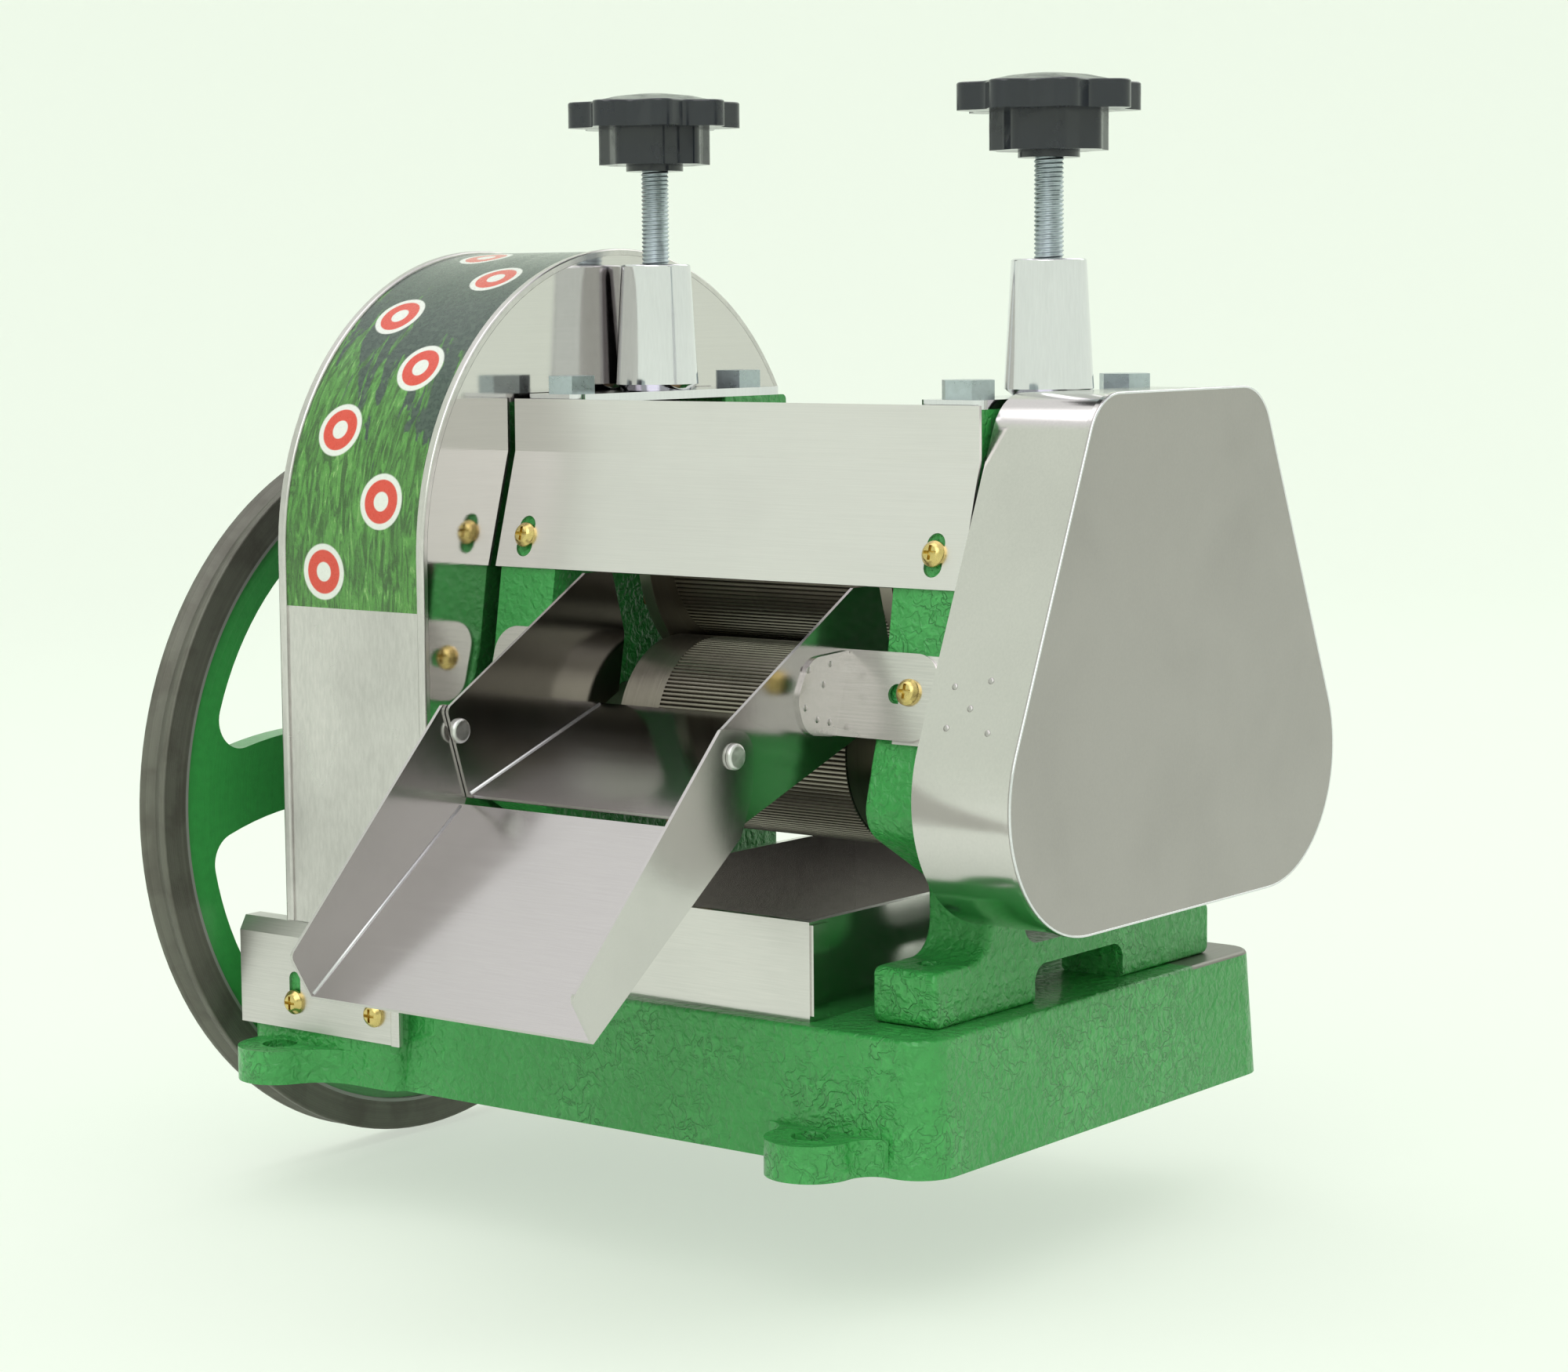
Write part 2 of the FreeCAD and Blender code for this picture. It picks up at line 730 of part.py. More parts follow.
def make_fasteners():
    pan = pan_screw()
    on_slope = Rotation(Vector(1, 0, 0), 90 - slope)
    on_bulge = Rotation(Vector(1, 0, 0), 90 - bulge_slope)
    square = Rotation(Vector(1, 0, 0), 90)
    seated = dim("sheet") + dim("sheet_seat")

    def outward(x, height, angle, distance):
        lean = math.radians(angle)
        return (x, stand_face(height) - distance * math.cos(lean), height + distance * math.sin(lean))

    group("guard_screws", [moved(pan, outward(x, dim("guard_screw_z"), slope, seated), on_slope)
                           for x in guard_screws_x])
    group("tab_screws", [moved(pan, outward(x, dim("tab_screw_z"), bulge_slope, sheets * seated), on_bulge)
                         for x, sheets in ((left_x, 1), (right_x, 2))])
    group("foot_screws", [moved(pan, (x, -pad_front - dim("sheet"), dim("foot_screw_z")), square)
                          for x in (dim("foot_screw_left"), dim("foot_screw_right"))])
    bolt = hex_bolt(dim("bolt_flats"), dim("bolt_head"), dim("bolt_radius"), dim("bolt_depth"))
    group("housing_bolts", [moved(bolt, (x, y, flange_top), Rotation(Vector(0, 0, 1), 12))
                            for x in (left_x, right_x) for y in (-dim("bolt_spread"), dim("bolt_spread"))])
    stand_bolt = hex_bolt(dim("stand_bolt_flats"), dim("stand_bolt_head"), dim("stand_bolt_radius"),
                          dim("stand_bolt_length"))
    turn_over = Rotation(Vector(1, 0, 0), 180)
    group("stand_bolts", [moved(stand_bolt, (x, y, dim("base_hollow")), turn_over)
                          for x, y in stand_bolt_places()])


# ---------------------------------------------------------------- pressure gear

def make_bearing_block(label, x):
    body = new_body(label)
    face = new_sketch(body, "YZ_Plane")
    half = dim("slot_half") - dim("slide_clearance")
    rectangle(face, -half, dim("slot_floor"), half, block_top, 2.0)
    circle(face, 0, dim("top_axis_z"), dim("journal_radius") + dim("run_clearance"))
    pad(body, face, "stand_thickness", both=True)
    keep(body, (x, 0, 0))


def make_spring_housing(label, x):
    body = new_body(label)
    plate = new_sketch(body, "XY_Plane", offset=dim("stand_top"))
    rectangle(plate, -stand_half, -dim("housing_flange_half"), stand_half, dim("housing_flange_half"), 4)
    pad(body, plate, "housing_flange")
    foot = dim("housing_foot")
    head = dim("housing_head")
    turned(body, [(0, dim("stand_top")), (foot - 4, dim("stand_top")), (foot - 4, flange_top - 0.5),
                  (12.4, flange_top - 0.5), (foot + 2.2 - 5, flange_top), (foot, flange_top + 2.2),
                  (head, dim("housing_top"), 0.9), (0, dim("housing_top"))],
           role="Z_Axis", plane="XZ_Plane")
    bore = new_sketch(body, "XY_Plane", offset=dim("stand_top"))
    circle(bore, 0, 0, "housing_bore")
    pocket(body, bore, dim("housing_bore_top") - dim("stand_top"), reverse=True)
    through = new_sketch(body, "XY_Plane")
    circle(through, 0, 0, dim("screw_radius") + dim("run_clearance"))
    pocket(body, through)
    bolts = new_sketch(body, "XY_Plane")
    for y in (-dim("bolt_spread"), dim("bolt_spread")):
        circle(bolts, 0, y, dim("bolt_radius") + 0.4)
    pocket(body, bolts)
    keep(body, (x, 0, 0))


def make_spring(label, x):
    wire = dim("spring_wire") / 2
    low = block_top + dim("spring_gap") + wire
    high = dim("cap_foot") - dim("spring_gap") - wire
    coil = doc.addObject("Part::Helix", label + "_coil")
    coil.Pitch = (high - low) / dim("spring_turns")
    coil.Height = high - low
    coil.Radius = dim("housing_bore") - 1.2 - wire
    coil.SegmentLength = 1.0
    coil.Placement = Placement(Vector(x, 0, low), Rotation())
    ring = doc.addObject("Part::Circle", label + "_wire")
    ring.Radius = wire
    ring.Placement = Placement(Vector(x + coil.Radius.Value, 0, low), Rotation(Vector(1, 0, 0), 90))
    doc.recompute()
    sweep = doc.addObject("Part::Sweep", label)
    sweep.Label = label
    sweep.Sections = [ring]
    sweep.Spine = (coil, [])
    sweep.Solid = True
    sweep.Frenet = True
    doc.recompute()
    NODES.append(sweep)


def make_spring_cap(label, x):
    body = new_body(label)
    radius = dim("housing_bore") - dim("cap_clearance")
    low = dim("cap_foot")
    turned(body, [(0, low), (radius, low, 0.6), (radius, low + dim("cap_thickness"), 0.6),
                  (0, low + dim("cap_thickness"))], role="Z_Axis", plane="XZ_Plane")
    keep(body, (x, 0, 0))


def make_pressure_screw(label, x):
    body = new_body(label)
    radius = dim("screw_radius")
    low = dim("cap_foot") + dim("cap_thickness")
    turned(body, [(0, low), (radius - 1.5, low), (radius, low + 1.5), (radius, screw_top - 1),
                  (radius - 1, screw_top), (0, screw_top)], role="Z_Axis", plane="XZ_Plane")
    keep(body, (x, 0, 0))


def star(sketch, peak, valley, lobes, peak_round, valley_round):
    step = math.pi / lobes
    corners = []
    for index in range(2 * int(lobes)):
        reach = peak if index % 2 == 0 else valley
        rounding = peak_round if index % 2 == 0 else valley_round
        corners.append((reach * math.cos(step * index), reach * math.sin(step * index), rounding))
    outline(sketch, corners)


def make_star_knob(label, x):
    body = new_body(label)
    lobes = dim("knob_lobes")
    wings = new_sketch(body, "XY_Plane", offset=star_foot)
    star(wings, dim("knob_radius") + 2.6, dim("knob_valley") - 2.2, lobes, 5.5, 5.0)
    pad(body, wings, star_top - star_foot)
    hub = new_sketch(body, "XY_Plane", offset=hub_foot)
    star(hub, dim("knob_hub_radius") + 0.7, dim("knob_hub_radius") - 2.0, lobes, 4.0, 5.0)
    pad(body, hub, star_foot - hub_foot)
    rounded(body, 0.8, lambda e: e.BoundBox.ZMin > star_top - 0.01)
    crown = 24.0
    turned(body, [(0, dim("knob_foot")), (dim("knob_collar"), dim("knob_foot")),
                  (dim("knob_collar"), hub_foot), (8, hub_foot),
                  (8, star_top), (crown, star_top),
                  (crown * 0.6, knob_top - 0.9, 6), (crown * 0.25, knob_top, 4),
                  (0, knob_top)], role="Z_Axis", plane="XZ_Plane")
    bore = new_sketch(body, "XY_Plane", offset=dim("knob_foot"))
    circle(bore, 0, 0, dim("screw_radius") + dim("seat_clearance"))
    pocket(body, bore, screw_top - dim("knob_foot") + 0.5, reverse=True)
    keep(body, (x, 0, 0))


# ---------------------------------------------------------------- rollers

def make_flutes(body, radius, start, finish):
    depth = dim("flute_depth")
    half_angle = math.pi / dim("flute_count") * 0.92
    mark = new_sketch(body, "YZ_Plane", offset=finish)
    reach = radius + 0.4
    outline(mark, [(radius - depth, 0), (reach * math.cos(half_angle), reach * math.sin(half_angle)),
                   (reach * math.cos(half_angle), -reach * math.sin(half_angle))])
    groove = pocket(body, mark, finish - start)
    repeated(body, groove, dim("flute_count"))


def make_top_roller():
    body = new_body("top_roller")
    half = dim("barrel_half")
    flange = dim("flange_thickness")
    low = centre_x - half
    high = centre_x + half
    gear_end = roller_gear_x + dim("roller_gear_stagger") + dim("roller_gear_width")
    steps = [
        (drive_gear_x - 12, drive_gear_x - 0.5, dim("thread_radius")),
        (drive_gear_x - 0.5, drive_gear_x + dim("drive_gear_width"), dim("seat_radius")),
        (drive_gear_x + dim("drive_gear_width"), left_x + stand_half + 0.5, dim("journal_radius")),
        (left_x + stand_half + 0.5, low - flange, dim("shoulder_radius")),
        (low - flange, low, dim("flange_radius")),
        (low, high, dim("top_barrel")),
        (high, high + flange, dim("flange_radius")),
        (high + flange, right_x - stand_half - 0.5, dim("shoulder_radius")),
        (right_x - stand_half - 0.5, roller_gear_x, dim("journal_radius")),
        (roller_gear_x, gear_end + 0.5, dim("seat_radius")),
        (gear_end + 0.5, gear_end + dim("nut_height") + 0.5, dim("thread_radius")),
    ]
    turned(body, stepped(steps))
    make_flutes(body, dim("top_barrel"), low, high)
    keep(body, (0, 0, dim("top_axis_z")))


def make_lower_roller(label, y, gear_x):
    body = new_body(label)
    half = dim("barrel_half") - dim("end_play")
    low = centre_x - half
    high = centre_x + half
    gear_end = gear_x + dim("roller_gear_width")
    steps = [
        (left_x - stand_half, left_x + stand_half + 0.5, lower_journal),
        (left_x + stand_half + 0.5, low, dim("shoulder_radius")),
        (low, high, dim("lower_barrel")),
        (high, right_x - stand_half - 0.5, dim("shoulder_radius")),
        (right_x - stand_half - 0.5, gear_x, lower_journal),
        (gear_x, gear_end + 0.5, dim("seat_radius") - 1),
        (gear_end + 0.5, gear_end + dim("nut_height") + 0.5, dim("thread_radius")),
    ]
    turned(body, stepped(steps))
    make_flutes(body, dim("lower_barrel"), low + dim("smooth_end"), high)
    keep(body, (0, y, lower_z))


# ---------------------------------------------------------------- gears

def involute_flank(base, tip, steps):
    """Points (radius, angle) of an involute from the base circle to the tip."""
    last = math.sqrt((tip / base) ** 2 - 1)
    points = []
    for index in range(steps + 1):
        roll = last * index / steps
        points.append((base * math.sqrt(1 + roll * roll), roll - math.atan(roll)))
    return points


def gear_outline(sketch, module, teeth, phase):
    """Spur gear outline with one tooth centred on the phase angle (degrees)."""
    pitch = module * teeth / 2
    base = pitch * math.cos(math.radians(20))
    tip = pitch + module
    root = pitch - 1.25 * module
    at_pitch = math.sqrt((pitch / base) ** 2 - 1)
    relief = dim("flank_relief") / pitch
    half_tooth = math.pi / (2 * teeth) - relief + at_pitch - math.atan(at_pitch)
    start = max(base, root + 0.2)
    flank = [(r, half_tooth - a) for r, a in involute_flank(base, tip, 3) if r >= start - 0.001]
    root_half = min(half_tooth + 0.25 * relief, math.pi / teeth - 0.012)
    side = [(root, root_half)] + flank
    points = []
    for index in range(int(teeth)):
        centre = math.radians(phase) + 2 * math.pi * index / teeth
        for radius, angle in side:
            points.append((radius * math.cos(centre - angle), radius * math.sin(centre - angle)))
        for radius, angle in reversed(side):
            points.append((radius * math.cos(centre + angle), radius * math.sin(centre + angle)))
    outline(sketch, points)


def mesh_phase(teeth, phase, direction, other_teeth):
    """Phase of the other gear so that its gap takes the tooth nearest the line of centres."""
    whole = math.degrees(2 * math.pi)
    step = whole / teeth
    nearest = phase + round((direction - phase) / step) * step
    gap = direction + whole / 2 - (nearest - direction) * teeth / other_teeth
    return gap + whole / 2 / other_teeth


def make_gear(label, module, teeth, phase, width, bore, at):
    body = new_body(label)
    face = new_sketch(body, "YZ_Plane")
    gear_outline(face, dim(module), teeth, phase)
    circle(face, 0, 0, bore + dim("seat_clearance"))
    pad(body, face, width)
    return keep(body, at)


def lightened(body, inner, outer, width, depth):
    """Shallow rings cut in both faces of a gear blank."""
    for offset, reverse in ((width, False), (0.0, True)):
        ring = new_sketch(body, "YZ_Plane", offset=offset)
        circle(ring, 0, 0, outer)
        circle(ring, 0, 0, inner)
        pocket(body, ring, depth, reverse=reverse)


def make_gears():
    teeth = dim("roller_teeth")
    drop = lower_z - dim("top_axis_z")
    to_front = math.degrees(math.atan2(drop, -dim("lower_axis_y")))
    to_rear = math.degrees(math.atan2(drop, dim("lower_axis_y")))
    top_phase = to_front
    x = roller_gear_x
    width = dim("roller_gear_width")
    stagger = dim("roller_gear_stagger")
    y = dim("lower_axis_y")
    z = lower_z
    seat = dim("seat_radius")
    make_gear("top_roller_gear", "roller_module", teeth, top_phase, width + stagger, seat, (x, 0, dim("top_axis_z")))
    make_gear("front_roller_gear", "roller_module", teeth, mesh_phase(teeth, top_phase, to_front, teeth), width,
              seat - 1, (x, -y, z))
    make_gear("rear_roller_gear", "roller_module", teeth, mesh_phase(teeth, top_phase, to_rear, teeth), width,
              seat - 1, (x + stagger, y, z))
    drive = make_gear("drive_gear", "gear_module", dim("drive_teeth"), -90.0, dim("drive_gear_width"), seat,
                      (drive_gear_x, 0, dim("top_axis_z")))
    lightened(drive, dim("drive_web_inner"), dim("drive_web_outer"), dim("drive_gear_width"), 6.0)
    pinion_x = drive_gear_x + (dim("drive_gear_width") - dim("pinion_width")) / 2
    make_gear("drive_pinion", "gear_module", dim("pinion_teeth"),
              mesh_phase(dim("drive_teeth"), -90.0, -90.0, dim("pinion_teeth")), dim("pinion_width"), seat,
              (pinion_x, 0, dim("shaft_axis_z")))
    bore = dim("thread_radius") + dim("seat_clearance")
    nut_x = x + width + 0.5
    for label, spot in (("top_gear_nut", (nut_x + stagger, 0, dim("top_axis_z"))), ("front_gear_nut", (nut_x, -y, z)),
                        ("rear_gear_nut", (nut_x + stagger, y, z)),
                        ("drive_gear_nut", (drive_gear_x - 0.5 - dim("nut_height"), 0, dim("top_axis_z")))):
        nut = hex_nut(dim("nut_flats"), dim("nut_height"), bore)
        nut.Label = label
        keep(nut, spot)


# ---------------------------------------------------------------- handwheel and crank

def make_wheel_shaft():
    body = new_body("wheel_shaft")
    hub_in = wheel_in + 6
    hub_out = hub_in - dim("hub_length")
    steps = [
        (hub_out - 12, hub_out - 0.5, dim("thread_radius")),
        (hub_out - 0.5, hub_in, dim("wheel_seat")),
        (hub_in, left_x + stand_half, dim("seat_radius")),
    ]
    turned(body, stepped(steps))
    keep(body, (0, 0, dim("shaft_axis_z")))
    nut = hex_nut(dim("nut_flats"), dim("nut_height"), dim("thread_radius") + dim("seat_clearance"))
    nut.Label = "wheel_nut"
    keep(nut, (hub_out - 0.5 - dim("nut_height"), 0, dim("shaft_axis_z")))


def spoke_direction(index):
    """Y and Z parts of the direction to a curved spoke's middle line at the crank's radius; the first is in front."""
    swing = math.asin(dim("crank_radius") / (2 * dim("spoke_bend")))
    angle = math.pi - math.radians(dim("spoke_angle")) + swing + 2 * math.pi * index / dim("spoke_count")
    return math.cos(angle), math.sin(angle)


def meeting(first, first_reach, second, second_reach, side):
    """Where two circles cross, on the left or the right of the line from the first centre to the second."""
    across = second - first
    along = (first_reach ** 2 - second_reach ** 2 + across.Length ** 2) / (2 * across.Length)
    off = side * math.sqrt(first_reach ** 2 - along ** 2)
    way = across * (1 / across.Length)
    return first + way * along + Vector(-way.y, way.x, 0) * off


def wheel_window(sketch):
    """The opening between two curved spokes: rim arc, two spoke edges and three rounded corners."""
    bend = dim("spoke_bend")
    half = dim("spoke_width") / 2
    rim = dim("rim_inner")
    corner = dim("spoke_corner")
    leave = math.radians(dim("spoke_angle"))
    origin = Vector(0, 0, 0)
    above = Vector(-bend * math.sin(leave), -bend * math.cos(leave), 0)
    below = Rotation(Vector(0, 0, 1), math.degrees(2 * math.pi) / dim("spoke_count")).multVec(above)
    edges = ((above, bend - half, -1), (below, bend + half, 1))
    rim_corners = [meeting(origin, rim - corner, centre, edge + sense * corner, -1) for centre, edge, sense in edges]
    hub_corner = meeting(above, bend - half - corner, below, bend + half + corner, 1)

    def on(centre, radius, point):
        return centre + (point - centre).normalize() * radius

    def arc(centre, radius, start, finish):
        between = centre + ((start - centre).normalize() + (finish - centre).normalize()).normalize() * radius
        sketch.addGeometry(Part.Arc(start, between, finish), False)

    rim_ends = [on(origin, rim, point) for point in rim_corners]
    outer_ends = [on(centre, edge, point) for (centre, edge, sense), point in zip(edges, rim_corners)]
    inner_ends = [on(centre, edge, hub_corner) for centre, edge, sense in edges]
    arc(origin, rim, *rim_ends)
    arc(hub_corner, corner, *inner_ends)
    for (centre, edge, sense), point, rim_end, outer_end, inner_end in zip(edges, rim_corners, rim_ends, outer_ends,
                                                                           inner_ends):
        arc(point, corner, rim_end, outer_end)
        arc(centre, edge, outer_end, inner_end)


def make_handwheel():
    body = new_body("handwheel")
    rim_in = wheel_in
    rim_out = wheel_out
    middle = (rim_in + rim_out) / 2
    outer = dim("wheel_radius")
    machined = dim("rim_machined")
    turned(body, [(rim_out, machined), (rim_out, outer, 0.8), (middle - 4.5, outer), (middle, outer - dim("groove_depth")),
                  (middle + 4.5, outer), (rim_in, outer, 0.8), (rim_in, machined)])
    inset = dim("web_inset")
    web = dim("wheel_rim") - 2 * inset
    ring = new_sketch(body, "YZ_Plane", offset=middle)
    circle(ring, 0, 0, machined + 2)
    pad(body, ring, web, both=True)
    window = new_sketch(body, "YZ_Plane", offset=middle)
    wheel_window(window)
    repeated(body, pocket(body, window), dim("spoke_count"))
    hub = new_sketch(body, "YZ_Plane", offset=rim_in + 6)
    circle(hub, 0, 0, "hub_radius")
    pad(body, hub, "hub_length", reverse=True)
    bore = new_sketch(body, "YZ_Plane")
    circle(bore, 0, 0, dim("wheel_seat") + dim("seat_clearance"))
    crank_y, crank_z = spoke_direction(-dim("crank_spoke"))
    circle(bore, crank_y * dim("crank_radius"), crank_z * dim("crank_radius"),
           dim("screw_radius") + dim("seat_clearance"))
    pocket(body, bore)
    keep(body, (0, 0, dim("shaft_axis_z")))


def make_crank():
    crank_y, crank_z = spoke_direction(-dim("crank_spoke"))
    spot = (0, crank_y * dim("crank_radius"), dim("shaft_axis_z") + crank_z * dim("crank_radius"))
    web_in = wheel_in - dim("web_inset")
    web_out = wheel_out + dim("web_inset")
    start = wheel_out - dim("grip_gap")
    finish = start - dim("grip_length")
    pin = new_body("crank_bolt")
    head = finish + 1.5
    steps = [
        (head, head + 4, dim("crank_pin") + 3),
        (head + 4, web_out, dim("crank_pin")),
        (web_out, web_in + 9, dim("screw_radius")),
    ]
    turned(pin, stepped(steps))
    keep(pin, spot)
    nut = hex_nut(dim("crank_nut_flats"), dim("crank_nut_height"), dim("screw_radius") + dim("seat_clearance"))
    nut.Label = "crank_nut"
    keep(nut, (web_in, spot[1], spot[2]))
    grip = new_body("crank_grip")
    inner = dim("crank_pin") + dim("run_clearance")
    outer = dim("grip_radius")
    turned(grip, [(start, inner), (start, outer - 3, 1.5), (start - dim("grip_length") * 0.16, outer - 1.6, 8),
                  (start - dim("grip_length") * 0.6, outer, 12),
                  (finish, outer - 1.5, 1.5), (finish, dim("crank_pin") + 3.4), (head + 4.3, dim("crank_pin") + 3.4),
                  (head + 4.3, inner)])
    keep(grip, spot)


# ---------------------------------------------------------------- sheet metal

def bent(points, thickness):
    """Corners of a strip of sheet from the points of its outer side, laid to the left of the path."""
    inner = []
    count = len(points)
    for index, point in enumerate(points):
        here = Vector(point[0], point[1], 0)
        ways = []
        if index > 0:
            ways.append((here - Vector(points[index - 1][0], points[index - 1][1], 0)).normalize())
        if index < count - 1:
            ways.append((Vector(points[index + 1][0], points[index + 1][1], 0) - here).normalize())
        normals = [Vector(-way.y, way.x, 0) for way in ways]
        mean = Vector(0, 0, 0)
        for normal in normals:
            mean = mean + normal
        mean.normalize()
        shift = mean * (thickness / mean.dot(normals[0]))
        inner.append((here.x + shift.x, here.y + shift.y))
    return list(points) + inner[::-1]


def make_front_guard():
    body = new_body("front_guard")
    thick = dim("sheet")
    out = thick + dim("sheet_seat")
    lean = math.radians(slope)
    left = left_x - stand_half - dim("guard_overhang")
    right = right_x + stand_half + dim("guard_overhang")
    top_y = -dim("stand_top_half") - out
    bend_z = dim("slope_top_z") + out * (1 / math.cos(lean) - 1) / math.tan(lean)
    foot_y = stand_face(dim("guard_foot_z")) - out / math.cos(lean)
    side = new_sketch(body, "YZ_Plane", offset=left)
    outline(side, bent([(top_y, dim("guard_top")), (top_y, bend_z), (foot_y, dim("guard_foot_z"))], thick))
    pad(body, side, right - left)
    slots = new_sketch(body, "XZ_Plane")
    for x in guard_screws_x:
        slot(slots, x, dim("guard_screw_z"), dim("slot_width"), dim("slot_length"), True)
    pocket(body, slots)
    keep(body)


def chute_floor_rear():
    """Where the chute's sloping floor must stop so that its underside clears the front roller."""
    lean = math.radians(dim("chute_slope"))
    along = (math.cos(lean), math.sin(lean))
    to_axis = (-dim("lower_axis_y") - dim("chute_lip_y"), lower_z - dim("chute_lip_z"))
    abeam = to_axis[0] * along[0] + to_axis[1] * along[1]
    below = to_axis[0] * along[1] - to_axis[1] * along[0] - dim("sheet")
    reach = abeam - math.sqrt((dim("lower_barrel") + dim("chute_gap")) ** 2 - below ** 2)
    return (dim("chute_lip_y") + reach * along[0], dim("chute_lip_z") + reach * along[1])


def make_chute():
    body = new_body("feed_chute")
    thick = dim("sheet")
    half = dim("chute_half")
    lean = math.radians(dim("chute_slope"))
    lip = (dim("chute_lip_y"), dim("chute_lip_z"))
    lip_under = (lip[0] + thick * math.sin(lean), lip[1] - thick * math.cos(lean))
    rear = chute_floor_rear()
    rear_under = (rear[0] + thick * math.sin(lean), rear[1] - thick * math.cos(lean))
    wall_foot = (dim("wall_floor_y"), lip[1] + (dim("wall_floor_y") - lip[0]) * math.tan(lean))
    floor = new_sketch(body, "YZ_Plane", offset=centre_x)
    outline(floor, [lip, rear, rear_under, lip_under])
    pad(body, floor, 2 * half, both=True)
    for x in (centre_x - half, centre_x + half - thick):
        wall = new_sketch(body, "YZ_Plane", offset=x)
        outline(wall, [(dim("wall_front_y"), dim("wall_front_z"), 2.5), (dim("wall_bend_y"), dim("wall_rear_z")),
                       (dim("wall_rear_y"), dim("wall_rear_z"), 2), (dim("wall_waist_y"), dim("wall_waist_z"), 12),
                       wall_foot, rear_under, lip_under])
        pad(body, wall, "sheet")
    holes = new_sketch(body, "YZ_Plane")
    circle(holes, dim("rivet_y"), dim("rivet_z"), dim("rivet_radius") + dim("seat_clearance"))
    pocket(body, holes)
    keep(body)


def make_chute_tabs():
    """The right tab lies on the gear cover's lug, the left one straight on its stand."""
    lean = math.radians(bulge_slope)
    wall_x = centre_x + dim("chute_half")
    low = dim("tab_low")
    high = dim("tab_high")
    shapes = []
    for mirror, sheets in ((False, 1), (True, 0)):
        body = new_body("chute_tab_blank")
        under = sheets * dim("sheet") + (sheets + 1) * dim("sheet_seat")
        over = under + dim("sheet")
        flank = new_sketch(body, "YZ_Plane", offset=wall_x)
        outline(flank, [(off_bulge(high, over), high, 1), (off_bulge(low, over), low, 1),
                        (dim("tab_front") + 4, low + 2, 9), (dim("tab_front"), (low + high) / 2, 8),
                        (dim("tab_front") + 7, high - 1, 9)])
        pad(body, flank, "sheet")
        plate = new_sketch(body, "XZ_Plane", offset=-off_bulge(dim("tab_screw_z"), under), tilt=-bulge_slope,
                           lift=(0, dim("tab_screw_z")))
        below = (low - dim("tab_screw_z")) / math.cos(lean)
        above = (high - dim("tab_screw_z")) / math.cos(lean)
        right = right_x + dim("tab_reach")
        outline(plate, [(wall_x, below), (right, below, 8), (right, above, 9), (wall_x, above)])
        pad(body, plate, "sheet")
        opening = new_sketch(body, "XZ_Plane")
        slot(opening, right_x - 2, dim("tab_screw_z"), dim("tab_slot_width"), dim("tab_slot_length"), False)
        pocket(body, opening)
        shape = body.Shape.copy()
        if mirror:
            shape = shape.mirror(Vector(centre_x, 0, 0), Vector(1, 0, 0))
        shapes.append(shape)
    group("chute_tabs", shapes)


def make_cover_lug():
    """A strip from the right stand's bulge into the gear cover: flange, web and the flange behind the band."""
    body = new_body("cover_lug")
    low = dim("lug_low")
    high = dim("lug_high")
    seat = dim("sheet_seat")
    thick = dim("sheet")
    web_x = cover_back + seat

    def strip(start, finish, inner, outer):
        section = new_sketch(body, "YZ_Plane", offset=start)
        outline(section, [(inner(low), low), (inner(high), high), (outer(high), high), (outer(low), low)])
        pad(body, section, finish - start)

    strip(right_x - dim("lug_left"), web_x + thick, lambda z: off_bulge(z, seat), lambda z: off_bulge(z, seat + thick))
    strip(web_x, web_x + thick, lambda z: off_bulge(z, seat), lambda z: cover_side(z, thick + seat))
    strip(web_x, cover_back + dim("lug_reach"), lambda z: cover_side(z, 2 * thick + seat),
          lambda z: cover_side(z, thick + seat))
    hole = new_sketch(body, "XZ_Plane")
    circle(hole, right_x, dim("tab_screw_z"), dim("pan_shank") + 0.4)
    pocket(body, hole)
    keep(body)


def make_chute_extension():
    body = new_body("chute_extension")
    thick = dim("sheet")
    half = dim("chute_half") + dim("ext_play") + thick
    root = (dim("ext_root_y"), dim("ext_root_z"))
    tip = (dim("ext_tip_y"), dim("ext_tip_z"))
    length = math.hypot(root[0] - tip[0], root[1] - tip[1])
    under = (thick * (root[1] - tip[1]) / length, -thick * (root[0] - tip[0]) / length)
    floor = new_sketch(body, "YZ_Plane", offset=centre_x)
    outline(floor, [tip, root, (root[0] + under[0], root[1] + under[1]), (tip[0] + under[0], tip[1] + under[1])])
    pad(body, floor, 2 * half, both=True)
    reach = 10.5
    for x in (centre_x - half, centre_x + half - thick):
        wall = new_sketch(body, "YZ_Plane", offset=x)
        outline(wall, [tip, (dim("ext_wall_tip_y"), dim("ext_wall_tip_z"), 2.5),
                       (dim("rivet_y") - 6, dim("rivet_z") + 9.2, 2), (dim("rivet_y") + reach, dim("rivet_z") + 7, 9),
                       (dim("rivet_y") + reach - 1, dim("rivet_z") - 12, 10),
                       (root[0] + under[0], root[1] + under[1]), (tip[0] + under[0], tip[1] + under[1])])
        pad(body, wall, "sheet")
    holes = new_sketch(body, "YZ_Plane")
    circle(holes, dim("rivet_y"), dim("rivet_z"), dim("rivet_radius") + dim("run_clearance"))
    pocket(body, holes)
    keep(body)


